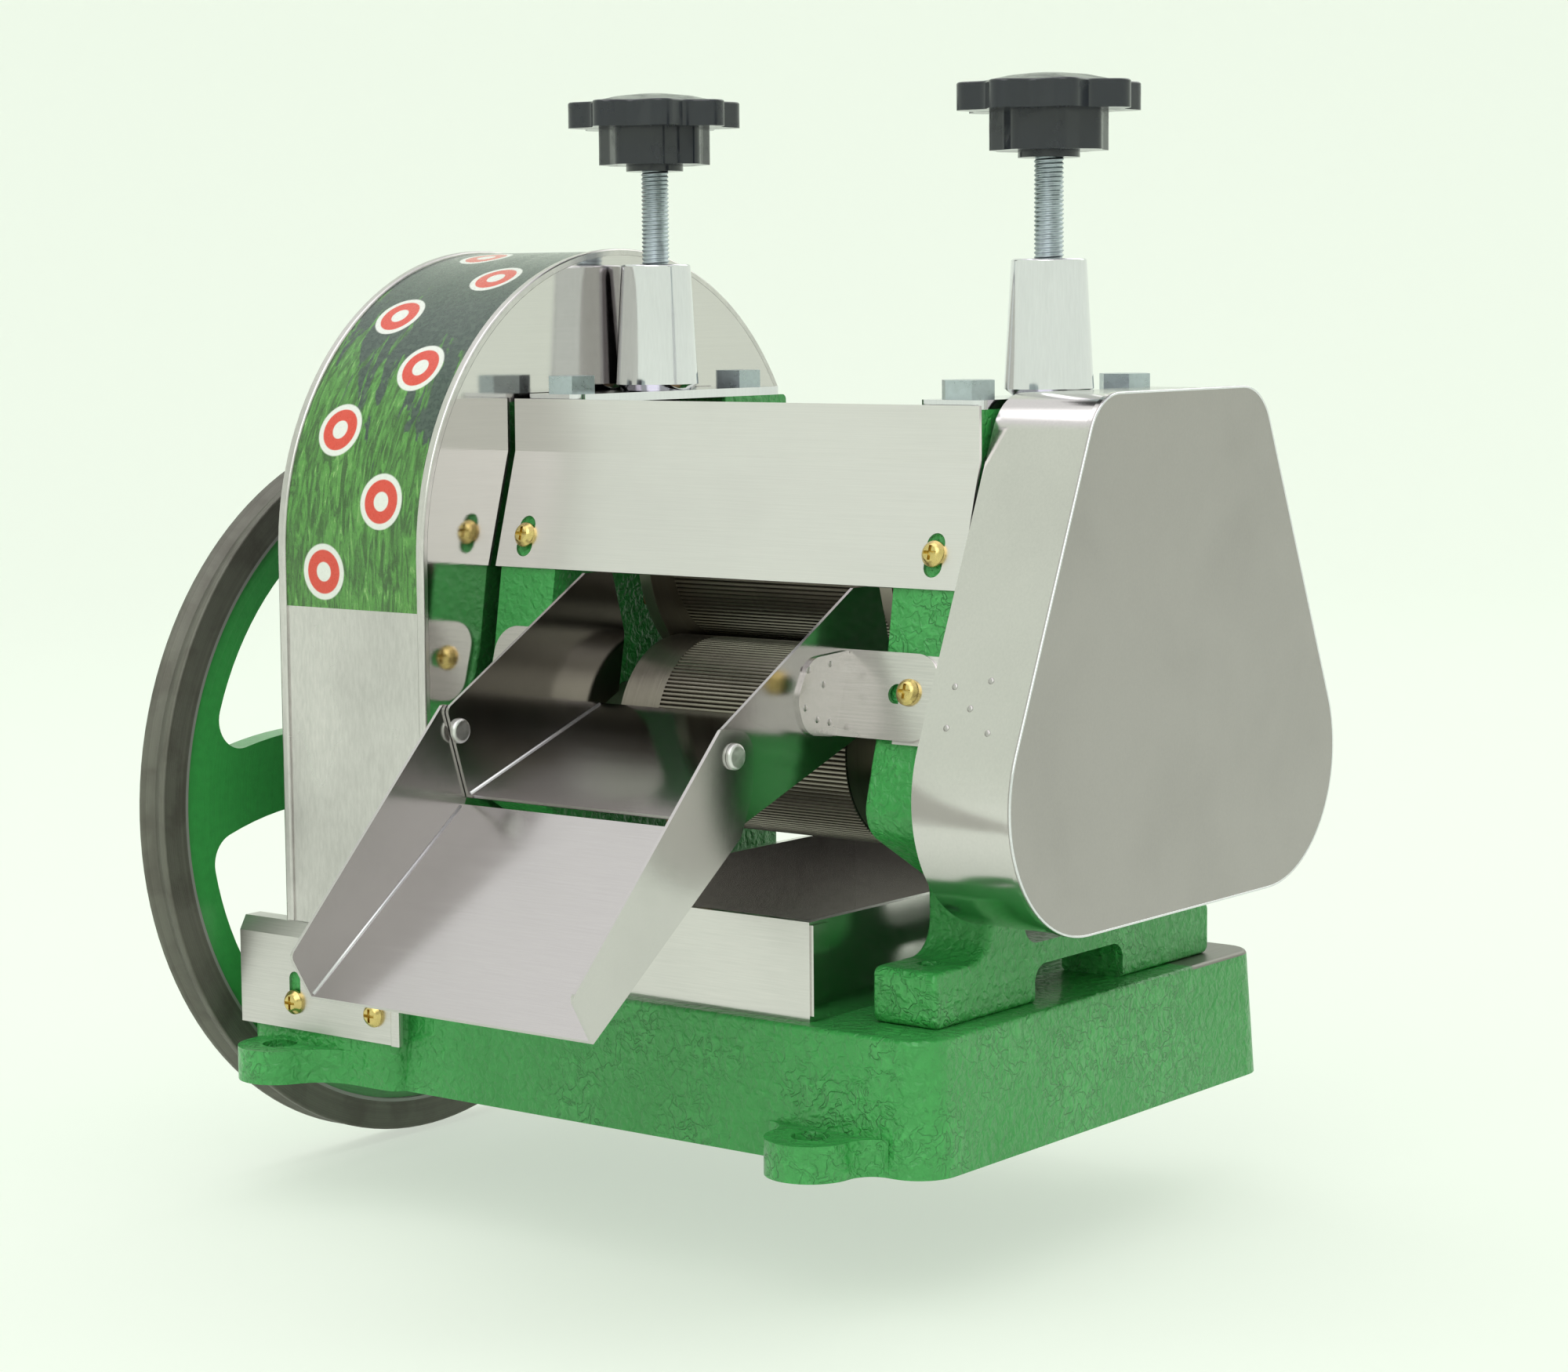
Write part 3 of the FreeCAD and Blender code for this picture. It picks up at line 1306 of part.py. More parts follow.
def make_rivets():
    """Each rivet has a domed head inside the chute and a flat set head outside the extension's wall."""
    inner = dim("chute_half") - dim("sheet")
    outer = dim("chute_half") + dim("ext_play") + dim("sheet") + 0.1
    head = dim("rivet_head")
    shank = dim("rivet_radius")
    shapes = []
    for mirror in (False, True):
        body = new_body("rivet_blank")
        turned(body, [(inner - 1.8, 0), (inner - 1.8, head, 1.2), (inner, head), (inner, shank), (outer, shank),
                      (outer, head), (outer + 1.6, head, 1.0), (outer + 1.6, 0)])
        turn = Rotation(Vector(0, 0, 1), 180) if mirror else Rotation()
        shapes.append(moved(body.Shape, (centre_x, dim("rivet_y"), dim("rivet_z")), turn))
    group("chute_rivets", shapes)


def make_tray():
    body = new_body("juice_tray")
    left = centre_x - dim("tray_half")
    right = centre_x + dim("tray_half")
    front = dim("tray_front")
    rear = dim("tray_rear")
    wall = dim("sheet")
    low = dim("base_height")
    plan = new_sketch(body, "XY_Plane", offset=low)
    rectangle(plan, left, front, right, rear)
    pad(body, plan, dim("tray_top") - low)
    room = new_sketch(body, "XY_Plane", offset=dim("tray_top"))
    rectangle(room, left + wall, front + wall, right - wall, rear - wall)
    pocket(body, room, dim("tray_top") - low - wall)
    hem = new_sketch(body, "XY_Plane", offset=dim("tray_top"))
    thick = dim("tray_hem")
    rectangle(hem, left, front, right, rear)
    rectangle(hem, left + thick, front + thick, right - thick, rear - thick)
    pad(body, hem, "tray_hem_height", reverse=True)
    size = 9.0
    for inside, outside in ((left - wall, left), (right, right + wall)):
        fold = new_sketch(body, "XY_Plane", offset=low + 2)
        rectangle(fold, inside, front + 0.6, outside, front + size)
        pad(body, fold, dim("tray_top") - low - 3)
    keep(body)


def arch_ring(sketch, outer, inner, foot, rear_angle):
    """The arch's section: up the front, over the top and down to the rear end."""
    centre = dim("arch_centre_z")
    last = math.radians(rear_angle)
    middle = math.radians(90 + rear_angle / 2)

    def at(radius, angle):
        return Vector(radius * math.cos(angle), centre + radius * math.sin(angle), 0)

    start = math.pi
    sketch.addGeometry([
        Part.LineSegment(Vector(-outer, foot, 0), at(outer, start)),
        Part.Arc(at(outer, start), at(outer, middle), at(outer, last)),
        Part.LineSegment(at(outer, last), at(inner, last)),
        Part.Arc(at(inner, last), at(inner, middle), at(inner, start)),
        Part.LineSegment(at(inner, start), Vector(-inner, foot, 0)),
        Part.LineSegment(Vector(-inner, foot, 0), Vector(-outer, foot, 0)),
    ], False)


def make_arch_cover():
    body = new_body("arch_cover")
    outer = dim("arch_radius")
    wall = dim("sheet")
    right = arch_right
    band = new_sketch(body, "YZ_Plane", offset=right)
    arch_ring(band, outer, outer - wall, dim("arch_foot"), dim("arch_end_angle"))
    pad(body, band, "arch_width", reverse=True)
    bead = dim("bead")
    for x, reverse in ((right, True), (right - dim("arch_width"), False)):
        edge = new_sketch(body, "YZ_Plane", offset=x)
        arch_ring(edge, outer + bead * 0.6, outer - wall + 0.3, dim("arch_foot"), dim("arch_end_angle"))
        pad(body, edge, bead * 1.9, reverse=reverse)

    def bead_rim(item):
        box = item.BoundBox
        if box.XLength > 0.001 or box.ZLength < 20:
            return False
        point = item.valueAt((item.FirstParameter + item.LastParameter) / 2)
        height = max(point.z - dim("arch_centre_z"), 0)
        return math.hypot(point.y, height) > outer + 0.5

    rounded(body, 0.9, bead_rim)
    keep(body)


def make_arch_plate():
    body = new_body("arch_inner_plate")
    reach = dim("arch_radius") - dim("sheet") - dim("plate_clearance")
    centre = dim("arch_centre_z")
    last = math.radians(dim("arch_end_angle"))
    start = math.pi
    middle = math.radians(90 + dim("arch_end_angle") / 2)
    notch = 8.0
    rear = dim("plate_rear")
    foot = dim("arch_foot") - 4

    def at(angle):
        return Vector(reach * math.cos(angle), centre + reach * math.sin(angle), 0)

    end = at(last)
    low = Vector(rear, end.y - notch - 3, 0)
    bow = Vector((end.x + low.x) / 2 - 1.6, (end.y + low.y) / 2 + 1.2, 0)
    sketch = new_sketch(body, "YZ_Plane", offset=arch_right)
    sketch.addGeometry([
        Part.LineSegment(Vector(-reach, foot, 0), at(start)),
        Part.Arc(at(start), at(middle), end),
        Part.Arc(end, bow, low),
        Part.LineSegment(low, Vector(rear, foot, 0)),
        Part.LineSegment(Vector(rear, foot, 0), Vector(-reach, foot, 0)),
    ], False)
    pad(body, sketch, "sheet", reverse=True)
    holes = new_sketch(body, "YZ_Plane")
    circle(holes, 0, dim("top_axis_z") + 1, dim("journal_radius") + 5)
    circle(holes, 0, dim("shaft_axis_z"), dim("seat_radius") + 3)
    pocket(body, holes)
    keep(body)


def make_foot_bracket():
    body = new_body("arch_foot_bracket")
    thick = dim("sheet")
    left = dim("bracket_left")
    right = dim("bracket_right")
    front = -pad_front - thick
    ledge_rear = dim("ledge_depth") - pad_front
    side = new_sketch(body, "YZ_Plane", offset=left)
    ledge_top = dim("arch_foot") - dim("ledge_seat")
    shoulder = front + dim("ledge_slope")
    outline(side, bent([(ledge_rear, ledge_top), (shoulder, ledge_top), (front, dim("bracket_top")),
                        (front, dim("bracket_foot"))], thick))
    pad(body, side, right - left)
    wing = new_sketch(body, "YZ_Plane", offset=left)
    outline(wing, [(front, dim("bracket_foot")), (ledge_rear, dim("bracket_foot")),
                   (ledge_rear, ledge_top), (shoulder, ledge_top), (front, dim("bracket_top"))])
    pad(body, wing, "sheet")
    hem = new_sketch(body, "XY_Plane", offset=dim("bracket_foot"))
    rectangle(hem, right - 4, front - 1.0, right, front + 0.2, 0.5)
    pad(body, hem, dim("bracket_top") - dim("bracket_foot") - 1)
    openings = new_sketch(body, "XZ_Plane", offset=pad_front - dim("ledge_depth"))
    slot(openings, dim("foot_screw_left"), dim("foot_screw_z") + 4, dim("slot_width") - 1.5, dim("slot_length"), True)
    circle(openings, dim("foot_screw_right"), dim("foot_screw_z"), dim("pan_shank") + 0.4)
    pocket(body, openings, 20.0, reverse=True)
    keep(body)


def cover_outline(grow):
    half_top = dim("cover_top_half")
    half_foot = dim("cover_foot_half")
    run = (half_foot - half_top) / (dim("cover_top") - dim("cover_foot"))
    side_grow = grow * (math.sqrt(1 + run * run))
    top = dim("cover_top") + grow
    foot = dim("cover_foot") - grow
    upper = half_top + side_grow - run * grow
    lower = half_foot + side_grow + run * grow
    top_round = dim("cover_top_corner") + grow
    foot_round = dim("cover_foot_corner") + grow
    return [(-lower, foot, foot_round), (lower, foot, foot_round), (upper, top, top_round), (-upper, top, top_round)]


def make_gear_cover():
    body = new_body("gear_cover")
    wall = dim("sheet")
    back = cover_back
    front = cover_front
    block = new_sketch(body, "YZ_Plane", offset=back)
    outline(block, cover_outline(0.0))
    pad(body, block, front - back)
    bead = new_sketch(body, "YZ_Plane", offset=front - 2.4)
    outline(bead, cover_outline(0.7))
    pad(body, bead, 2.4)
    room = new_sketch(body, "YZ_Plane", offset=back)
    outline(room, cover_outline(-wall))
    pocket(body, room, front - back - wall, reverse=True)
    rounded(body, 0.6, lambda e: abs(e.BoundBox.XMin - front) < 0.01)
    notch = new_sketch(body, "XY_Plane", offset=dim("cover_top") + 1)
    circle(notch, right_x, 0, dim("housing_foot") + 2.6)
    pocket(body, notch, 6.0)
    keep(body)


def make_all():
    make_base()
    make_stand("right_stand", right_x, True)
    make_stand("left_stand", left_x, False)
    make_outer_stand()
    lower_inner = lower_journal + dim("run_clearance")
    shaft_inner = dim("seat_radius") + dim("run_clearance")
    y = dim("lower_axis_y")
    z = lower_z
    make_bushes("front_roller_bushes", lower_inner, [(left_x, -y, z, None), (right_x, -y, z, None)])
    make_bushes("rear_roller_bushes", lower_inner, [(left_x, y, z, None), (right_x, y, z, None)])
    make_bushes("shaft_bushes", shaft_inner, [(left_x, 0, dim("shaft_axis_z"), None),
                                              (outer_x, 0, dim("shaft_axis_z"), dim("outer_thickness"))])
    make_fasteners()
    for side, x in (("left", left_x), ("right", right_x)):
        make_bearing_block(side + "_bearing_block", x)
        make_spring_housing(side + "_spring_housing", x)
        make_spring(side + "_spring", x)
        make_spring_cap(side + "_spring_cap", x)
        make_pressure_screw(side + "_pressure_screw", x)
        make_star_knob(side + "_star_knob", x)
    make_top_roller()
    make_lower_roller("front_roller", -y, roller_gear_x)
    make_lower_roller("rear_roller", y, roller_gear_x + dim("roller_gear_stagger"))
    make_gears()
    make_wheel_shaft()
    make_handwheel()
    make_crank()
    make_front_guard()
    make_chute()
    make_chute_tabs()
    make_chute_extension()
    make_rivets()
    make_tray()
    make_arch_cover()
    make_arch_plate()
    make_foot_bracket()
    make_gear_cover()
    make_cover_lug()


make_all()
doc.recompute()

for item in doc.Objects:
    if "Invalid" in item.State or "Error" in item.State:
        raise RuntimeError("%s did not build: %s" % (item.Label, item.State))
for node in NODES:
    if node.Shape.isNull() or not node.Shape.isValid():
        raise RuntimeError("%s has no valid shape" % node.Label)

os.makedirs("parts", exist_ok=True)
for node in NODES:
    node.Shape.exportStep("parts/%s.step" % node.Label)
print("nodes", len(NODES))
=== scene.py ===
import math

import bpy
import bmesh
from bpy.props import FloatProperty, FloatVectorProperty, PointerProperty
from mathutils import Matrix, Vector


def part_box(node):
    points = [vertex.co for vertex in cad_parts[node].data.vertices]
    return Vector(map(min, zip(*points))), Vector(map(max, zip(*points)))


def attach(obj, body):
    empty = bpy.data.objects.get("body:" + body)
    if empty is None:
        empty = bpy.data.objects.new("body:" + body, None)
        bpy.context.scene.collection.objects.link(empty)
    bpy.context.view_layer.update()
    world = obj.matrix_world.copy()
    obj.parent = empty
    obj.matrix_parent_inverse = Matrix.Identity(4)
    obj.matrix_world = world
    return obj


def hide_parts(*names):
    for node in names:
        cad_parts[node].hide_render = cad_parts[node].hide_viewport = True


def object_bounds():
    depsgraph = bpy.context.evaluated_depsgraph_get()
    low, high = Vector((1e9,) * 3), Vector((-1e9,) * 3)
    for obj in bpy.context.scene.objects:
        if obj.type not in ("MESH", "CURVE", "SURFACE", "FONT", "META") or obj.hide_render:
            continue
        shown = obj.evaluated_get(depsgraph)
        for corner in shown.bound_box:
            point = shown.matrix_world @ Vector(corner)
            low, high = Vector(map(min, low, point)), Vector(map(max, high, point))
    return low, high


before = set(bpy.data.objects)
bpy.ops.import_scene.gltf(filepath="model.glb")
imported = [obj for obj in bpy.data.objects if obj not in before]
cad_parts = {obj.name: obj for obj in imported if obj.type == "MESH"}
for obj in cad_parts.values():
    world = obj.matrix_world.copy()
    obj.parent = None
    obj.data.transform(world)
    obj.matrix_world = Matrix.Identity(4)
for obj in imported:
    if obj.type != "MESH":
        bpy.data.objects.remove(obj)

bl_info = {
    "name": "Manual sugarcane juicer",
    "version": (1, 0, 0),
    "blender": (4, 5, 0),
    "location": "View3D > Sidebar > Juicer",
    "description": "Finishes and fine detail of a hand cranked sugarcane juicer",
    "category": "Object",
}

CAD_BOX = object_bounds()

# Measures of the machine that the finishes and the fine pieces follow, in metres and radians.
WHEEL_CENTRE = (0.0, 0.0, 0.092)
RIM_FROM = 0.1238
RIM_LINE_TO = 0.1252
ROLLERS = {
    "top_roller": ((0.0, 0.0, 0.191), 0.0365),
    "front_roller": ((0.0, -0.0335, 0.1267), 0.033),
    "rear_roller": ((0.0, 0.0335, 0.1267), 0.033),
}
FLUTE_DEPTH = 0.0007
MACHINED_FROM = 0.062
MACHINED_TO = 0.066
MACHINED_DEPTH = 0.0012
BAND_TOP = 0.246
BAND_TOP_HALF = 0.050
BAND_SLOPE = math.atan2(72.8, 170.5)
PLATE_EDGE = 0.0008
ARCH_CENTRE = 0.1875
ARCH_RADIUS = 0.1065
ARCH_HEM = 0.0036
PANEL_FOOT = 0.1695
PANEL_END = math.radians(79)
TAB_SHEET = 0.0012
FLOOR_GAP = 0.002


# ---------------------------------------------------------------- settings

def colour_setting(label, value, words):
    return FloatVectorProperty(name=label, description=words, subtype="COLOR", size=3, min=0.0,
                               max=1.0, default=value)


def size_setting(label, value, words):
    return FloatProperty(name=label, description=words, subtype="DISTANCE", unit="LENGTH", min=0.0,
                         precision=5, default=value)


class JuicerColours(bpy.types.PropertyGroup):
    enamel: colour_setting("Enamel", (0.048, 0.365, 0.080), "Green of the castings")
    # Painted shade: darker green laid in the enamel's hollows and creases.
    enamel_painted_shade: colour_setting("Enamel painted shade", (0.036, 0.285, 0.060), "Painted shade in the enamel's hollows")
    # Painted highlight: lighter green laid on the enamel's raised crests.
    enamel_painted_highlight: colour_setting("Enamel painted highlight", (0.066, 0.430, 0.100), "Painted highlight on the enamel's crests")
    dust: colour_setting("Dust", (0.400, 0.500, 0.380), "Pale dust on the enamel")
    machined: colour_setting("Machined iron", (0.300, 0.285, 0.265), "Bare machined iron")
    rim: colour_setting("Wheel rim", (0.150, 0.145, 0.125), "Bare turned rim of the handwheel")
    rim_line: colour_setting("Rim line", (0.340, 0.340, 0.330), "Bright line where the turning stopped")
    grime: colour_setting("Grime", (0.070, 0.058, 0.050), "Dirt on the handwheel's rim")
    sheet: colour_setting("Sheet", (0.660, 0.630, 0.625), "Brushed stainless sheet")
    guard: colour_setting("Guard", (0.770, 0.735, 0.740), "Pale satin sheet of the front guard")
    cover: colour_setting("Cover plate", (0.430, 0.400, 0.395), "Front plate of the roller gear cover")
    polished: colour_setting("Polished sheet", (0.660, 0.632, 0.625), "Sheet of the bands and the chute")
    chrome: colour_setting("Chrome", (0.760, 0.750, 0.790), "Bright chrome")
    zinc: colour_setting("Zinc", (0.500, 0.560, 0.600), "Blue-white zinc plating")
    yellow_zinc: colour_setting("Yellow zinc", (0.720, 0.560, 0.220), "Yellow zinc plating")
    aluminium: colour_setting("Aluminium", (0.740, 0.740, 0.730), "Rivets of the chute")
    bakelite: colour_setting("Bakelite", (0.0070, 0.0090, 0.018), "Black of the knobs and the grip")
    scuffed: colour_setting("Scuffed bakelite", (0.050, 0.050, 0.060), "Worn places of the bakelite")
    black_dust: colour_setting("Dust on bakelite", (0.160, 0.160, 0.170), "Dust on the bakelite")
    roller: colour_setting("Roller steel", (0.300, 0.275, 0.235), "Crests of the flutes")
    # Painted shade: dark colour laid in the bottoms of the flutes.
    roller_painted_shade: colour_setting("Flute painted shade", (0.075, 0.066, 0.056), "Painted shade in the bottoms of the flutes")
    bronze: colour_setting("Bronze", (0.420, 0.250, 0.100), "Cast bronze")
    spring: colour_setting("Spring steel", (0.100, 0.100, 0.110), "Wire of the pressure springs")
    cap: colour_setting("Cap steel", (0.250, 0.250, 0.250), "Turned spring caps")
    gear: colour_setting("Gear iron", (0.150, 0.148, 0.145), "Cut gears")
    panel_dark: colour_setting("Panel dark", (0.032, 0.060, 0.048), "Dark field of the cover's panel")
    panel_mottle: colour_setting("Panel mottle", (0.060, 0.095, 0.075), "Paler spots of the dark field")
    panel_green: colour_setting("Panel green", (0.090, 0.300, 0.050), "Grass on the cover's panel")
    panel_pale: colour_setting("Panel pale", (0.480, 0.700, 0.300), "Pale tips of the blades")
    panel_red: colour_setting("Panel red", (0.700, 0.060, 0.035), "Red discs on the cover's panel")
    panel_white: colour_setting("Panel white", (0.800, 0.800, 0.780), "Rings and middles of the discs")
    backdrop: colour_setting("Backdrop", (0.890, 0.955, 0.855), "Floor and backdrop")
    room: colour_setting("Room", (0.965, 0.980, 0.960), "Light of the room all round")


class JuicerSizes(bpy.types.PropertyGroup):
    thread_pitch: size_setting("Thread pitch", 0.0015, "Pitch of the pressure screws")
    thread_depth: size_setting("Thread depth", 0.0006, "Depth of the pressure screws' thread")
    panel_lift: size_setting("Panel lift", 0.00015, "How far the printed panel stands off the cover")
    weld_radius: size_setting("Weld mark", 0.0011, "Radius of a spot weld's mark")
    weld_height: size_setting("Weld height", 0.0003, "Height of a spot weld's mark")
    # The bright line in the bends is a painted highlight on slim rods.
    bend_radius: size_setting("Bend", 0.0006, "Radius of the bright line in the chute's bends")
    bend_inset: size_setting("Bend end", 0.001, "How far that line stops short of the bend's ends")
    seam_radius: size_setting("Seam", 0.00045, "Radius of the roller gear cover's rolled edge")
    seam_inset: size_setting("Seam inset", 0.00025, "How far that edge lies behind the front plate")
    seam_spacing: size_setting("Seam spacing", 0.0012, "Least distance between the points of that edge")
    pebble: size_setting("Pebble", 0.0022, "Size of the enamel's pebbles")
    floor_radius: size_setting("Floor", 2.4, "Radius of the flat floor")


def colours():
    return bpy.context.scene.juicer_colours


def sizes():
    return bpy.context.scene.juicer_sizes


# ---------------------------------------------------------------- node helpers

def wire(tree, node, inputs):
    """Links each input that is given a socket, and sets each one that is given a constant."""
    for name, value in inputs.items():
        socket = node.inputs[name]
        if isinstance(value, bpy.types.NodeSocket):
            tree.links.new(value, socket)
        else:
            socket.default_value = value
    return node


def maths(tree, operation, first, second=0.0):
    node = tree.nodes.new("ShaderNodeMath")
    node.operation = operation
    return wire(tree, node, {0: first, 1: second}).outputs[0]


def vector_maths(tree, operation, first, second):
    node = tree.nodes.new("ShaderNodeVectorMath")
    node.operation = operation
    return wire(tree, node, {0: first, 1: second}).outputs[0]


def product(tree, first, second):
    return maths(tree, "MULTIPLY", first, second)


def rest(tree, mask):
    """What a mask leaves out."""
    return maths(tree, "SUBTRACT", 1.0, mask)


def scaled(tree, colour, factor):
    """A colour made lighter or darker by a value that varies over the surface."""
    node = tree.nodes.new("ShaderNodeVectorMath")
    node.operation = "SCALE"
    return wire(tree, node, {0: colour, "Scale": factor}).outputs[0]


def span(tree, value, low, high, start=0.0, end=1.0):
    """Maps a value smoothly from low..high to start..end."""
    node = tree.nodes.new("ShaderNodeMapRange")
    node.interpolation_type = "SMOOTHSTEP"
    wire(tree, node, {"Value": value, "From Min": low, "From Max": high, "To Min": start, "To Max": end})
    return node.outputs[0]


def noise(tree, vector, scale, detail=2.0, roughness=0.5, distortion=0.0):
    node = tree.nodes.new("ShaderNodeTexNoise")
    wire(tree, node, {"Vector": vector, "Scale": scale, "Detail": detail, "Roughness": roughness,
                      "Distortion": distortion})
    return node.outputs[0]


def blend(tree, factor, first, second):
    node = tree.nodes.new("ShaderNodeMix")
    node.data_type = "RGBA"
    wire(tree, node, {0: factor, 6: first, 7: second})
    return node.outputs[2]


def rgba(colour):
    return (colour[0], colour[1], colour[2], 1.0)


def shaded(colour, factor):
    """A colour made lighter or darker by a number."""
    return [min(part * factor, 1.0) for part in colour]


def axes(tree, vector):
    """A vector's three parts."""
    node = tree.nodes.new("ShaderNodeSeparateXYZ")
    tree.links.new(vector, node.inputs[0])
    return node.outputs


def seen_directly(tree):
    """1 where the eye looks itself, or looks in metal or through glass."""
    paths = tree.nodes.new("ShaderNodeLightPath").outputs
    indirect = maths(tree, "MAXIMUM", paths["Is Glossy Ray"], paths["Is Transmission Ray"])
    return maths(tree, "MAXIMUM", paths["Is Camera Ray"], indirect)


def new_group(name, inputs, outputs):
    """Starts a shared effect: its tree, what it is given and where its results go."""
    tree = bpy.data.node_groups.new(name, "ShaderNodeTree")
    for label, kind, value in inputs:
        socket = tree.interface.new_socket(name=label, in_out="INPUT",
                                           socket_type="NodeSocket" + kind)
        socket.default_value = value
    for label in outputs:
        tree.interface.new_socket(name=label, in_out="OUTPUT", socket_type="NodeSocketFloat")
    given = tree.nodes.new("NodeGroupInput").outputs
    return tree, given, tree.nodes.new("NodeGroupOutput").inputs


def group(tree, name, inputs):
    """Places a shared effect in a material and returns its outputs."""
    node = tree.nodes.new("ShaderNodeGroup")
    node.node_tree = bpy.data.node_groups[name]
    return wire(tree, node, inputs).outputs


# ---------------------------------------------------------------- shared effects

def make_pebble_group():
    """Hammertone enamel: soft lumps, with thin creases that gather in patches. Its tone carries painted
    highlight on the lumps and painted shade in the creases, mixed with random broad tone.
    """
    tree, given, result = new_group("Enamel pebble",
                                    [("Vector", "Vector", (0, 0, 0)), ("Size", "Float", 0.002)],
                                    ["Height", "Tone with painted light", "Gloss"])
    scale = maths(tree, "DIVIDE", 1.0, given["Size"])
    lumps = noise(tree, given["Vector"], product(tree, scale, 0.75), 2.0, 0.45, 0.5)
    bend = noise(tree, given["Vector"], product(tree, scale, 0.40), 2.0, 0.5, 0.8)
    ridge = maths(tree, "ABSOLUTE", maths(tree, "SUBTRACT", bend, 0.5))
    broad = noise(tree, given["Vector"], product(tree, scale, 0.045), 2.0)
    patch = span(tree, broad, 0.46, 0.62)
    crease = product(tree, span(tree, ridge, 0.0, 0.030, 1.0, 0.0), patch)
    height = maths(tree, "SUBTRACT", product(tree, lumps, 0.80), product(tree, crease, 0.20))
    tree.links.new(height, result["Height"])
    # Painted light: the tone follows the lumps, so it is lighter where they stand high and darker in the
    # creases, mixed with random broad tone.
    tone = maths(tree, "ADD", product(tree, lumps, 0.45), product(tree, broad, 0.55))
    shade = maths(tree, "SUBTRACT", span(tree, tone, 0.25, 0.75), product(tree, crease, 0.30))
    tree.links.new(maths(tree, "MAXIMUM", shade, 0.0), result["Tone with painted light"])
    tree.links.new(span(tree, broad, 0.3, 0.7), result["Gloss"])


def make_grain_group():
    """Brushed metal: fine streaks, drawn out by the stretch vector, with faint broad banding."""
    tree, given, result = new_group("Brushed grain",
                                    [("Vector", "Vector", (0, 0, 0)),
                                     ("Stretch", "Vector", (40, 4000, 4000))],
                                    ["Streak", "Band"])
    drawn = vector_maths(tree, "MULTIPLY", given["Vector"], given["Stretch"])
    tree.links.new(noise(tree, drawn, 1.0, 4.0, 0.7), result["Streak"])
    broad = vector_maths(tree, "MULTIPLY", drawn, (0.06, 0.06, 0.06))
    tree.links.new(noise(tree, broad, 1.0, 2.0, 0.6), result["Band"])


def make_smudge_group():
    """Handling marks: soft uneven patches."""
    tree, given, result = new_group("Handling marks",
                                    [("Vector", "Vector", (0, 0, 0)), ("Size", "Float", 0.04)],
                                    ["Mask"])
    patches = noise(tree, given["Vector"], maths(tree, "DIVIDE", 1.0, given["Size"]), 3.0, 0.5, 0.4)
    tree.links.new(span(tree, patches, 0.38, 0.80), result["Mask"])


def make_speck_group():
    """Specks: small dots at some of the points of a scattered grid."""
    tree, given, result = new_group("Specks",
                                    [("Vector", "Vector", (0, 0, 0)), ("Spacing", "Float", 0.01),
                                     ("Radius", "Float", 0.05), ("Share", "Float", 0.3)],
                                    ["Mask"])
    cells = tree.nodes.new("ShaderNodeTexVoronoi")
    wire(tree, cells, {"Vector": given["Vector"], "Scale": maths(tree, "DIVIDE", 1.0, given["Spacing"])})
    inner = product(tree, given["Radius"], 0.4)
    near = span(tree, cells.outputs["Distance"], inner, given["Radius"], 1.0, 0.0)
    picked = maths(tree, "LESS_THAN", axes(tree, cells.outputs["Color"])[0], given["Share"])
    tree.links.new(product(tree, near, picked), result["Mask"])


def make_turned_group():
    """Turned faces: the distance from an axis along X, and fine rings round it."""
    tree, given, result = new_group("Turned rings",
                                    [("Vector", "Vector", (0, 0, 0)), ("Centre", "Vector", (0, 0, 0)),
                                     ("Spacing", "Float", 0.0006)],
                                    ["Radius", "Rings"])
    parts = axes(tree, vector_maths(tree, "SUBTRACT", given["Vector"], given["Centre"]))
    square = maths(tree, "ADD", product(tree, parts[1], parts[1]), product(tree, parts[2], parts[2]))
    radius = maths(tree, "SQRT", square)
    tree.links.new(radius, result["Radius"])
    place = tree.nodes.new("ShaderNodeCombineXYZ")
    wire(tree, place, {0: maths(tree, "DIVIDE", radius, given["Spacing"]),
                       1: maths(tree, "DIVIDE", parts[0], given["Spacing"])})
    tree.links.new(noise(tree, place.outputs[0], 0.7, 3.0, 0.6), result["Rings"])


def make_groups():
    make_pebble_group()
    make_grain_group()
    make_smudge_group()
    make_speck_group()
    make_turned_group()


# ---------------------------------------------------------------- materials

def new_material(name, **constants):
    """A material with one Principled shader; constants go straight on its sockets."""
    material = bpy.data.materials.new(name)
    material.use_nodes = True
    tree = material.node_tree
    shader = tree.nodes["Principled BSDF"]
    for socket, value in constants.items():
        shader.inputs[socket.replace("_", " ")].default_value = value
    place = tree.nodes.new("ShaderNodeTexCoord").outputs["Object"]
    return material, tree, shader, place


def raise_surface(tree, shader, height, strength, distance):
    """Bumps the surface by a height."""
    bump = tree.nodes.new("ShaderNodeBump")
    wire(tree, bump, {"Height": height, "Strength": strength, "Distance": distance})
    tree.links.new(bump.outputs[0], shader.inputs["Normal"])


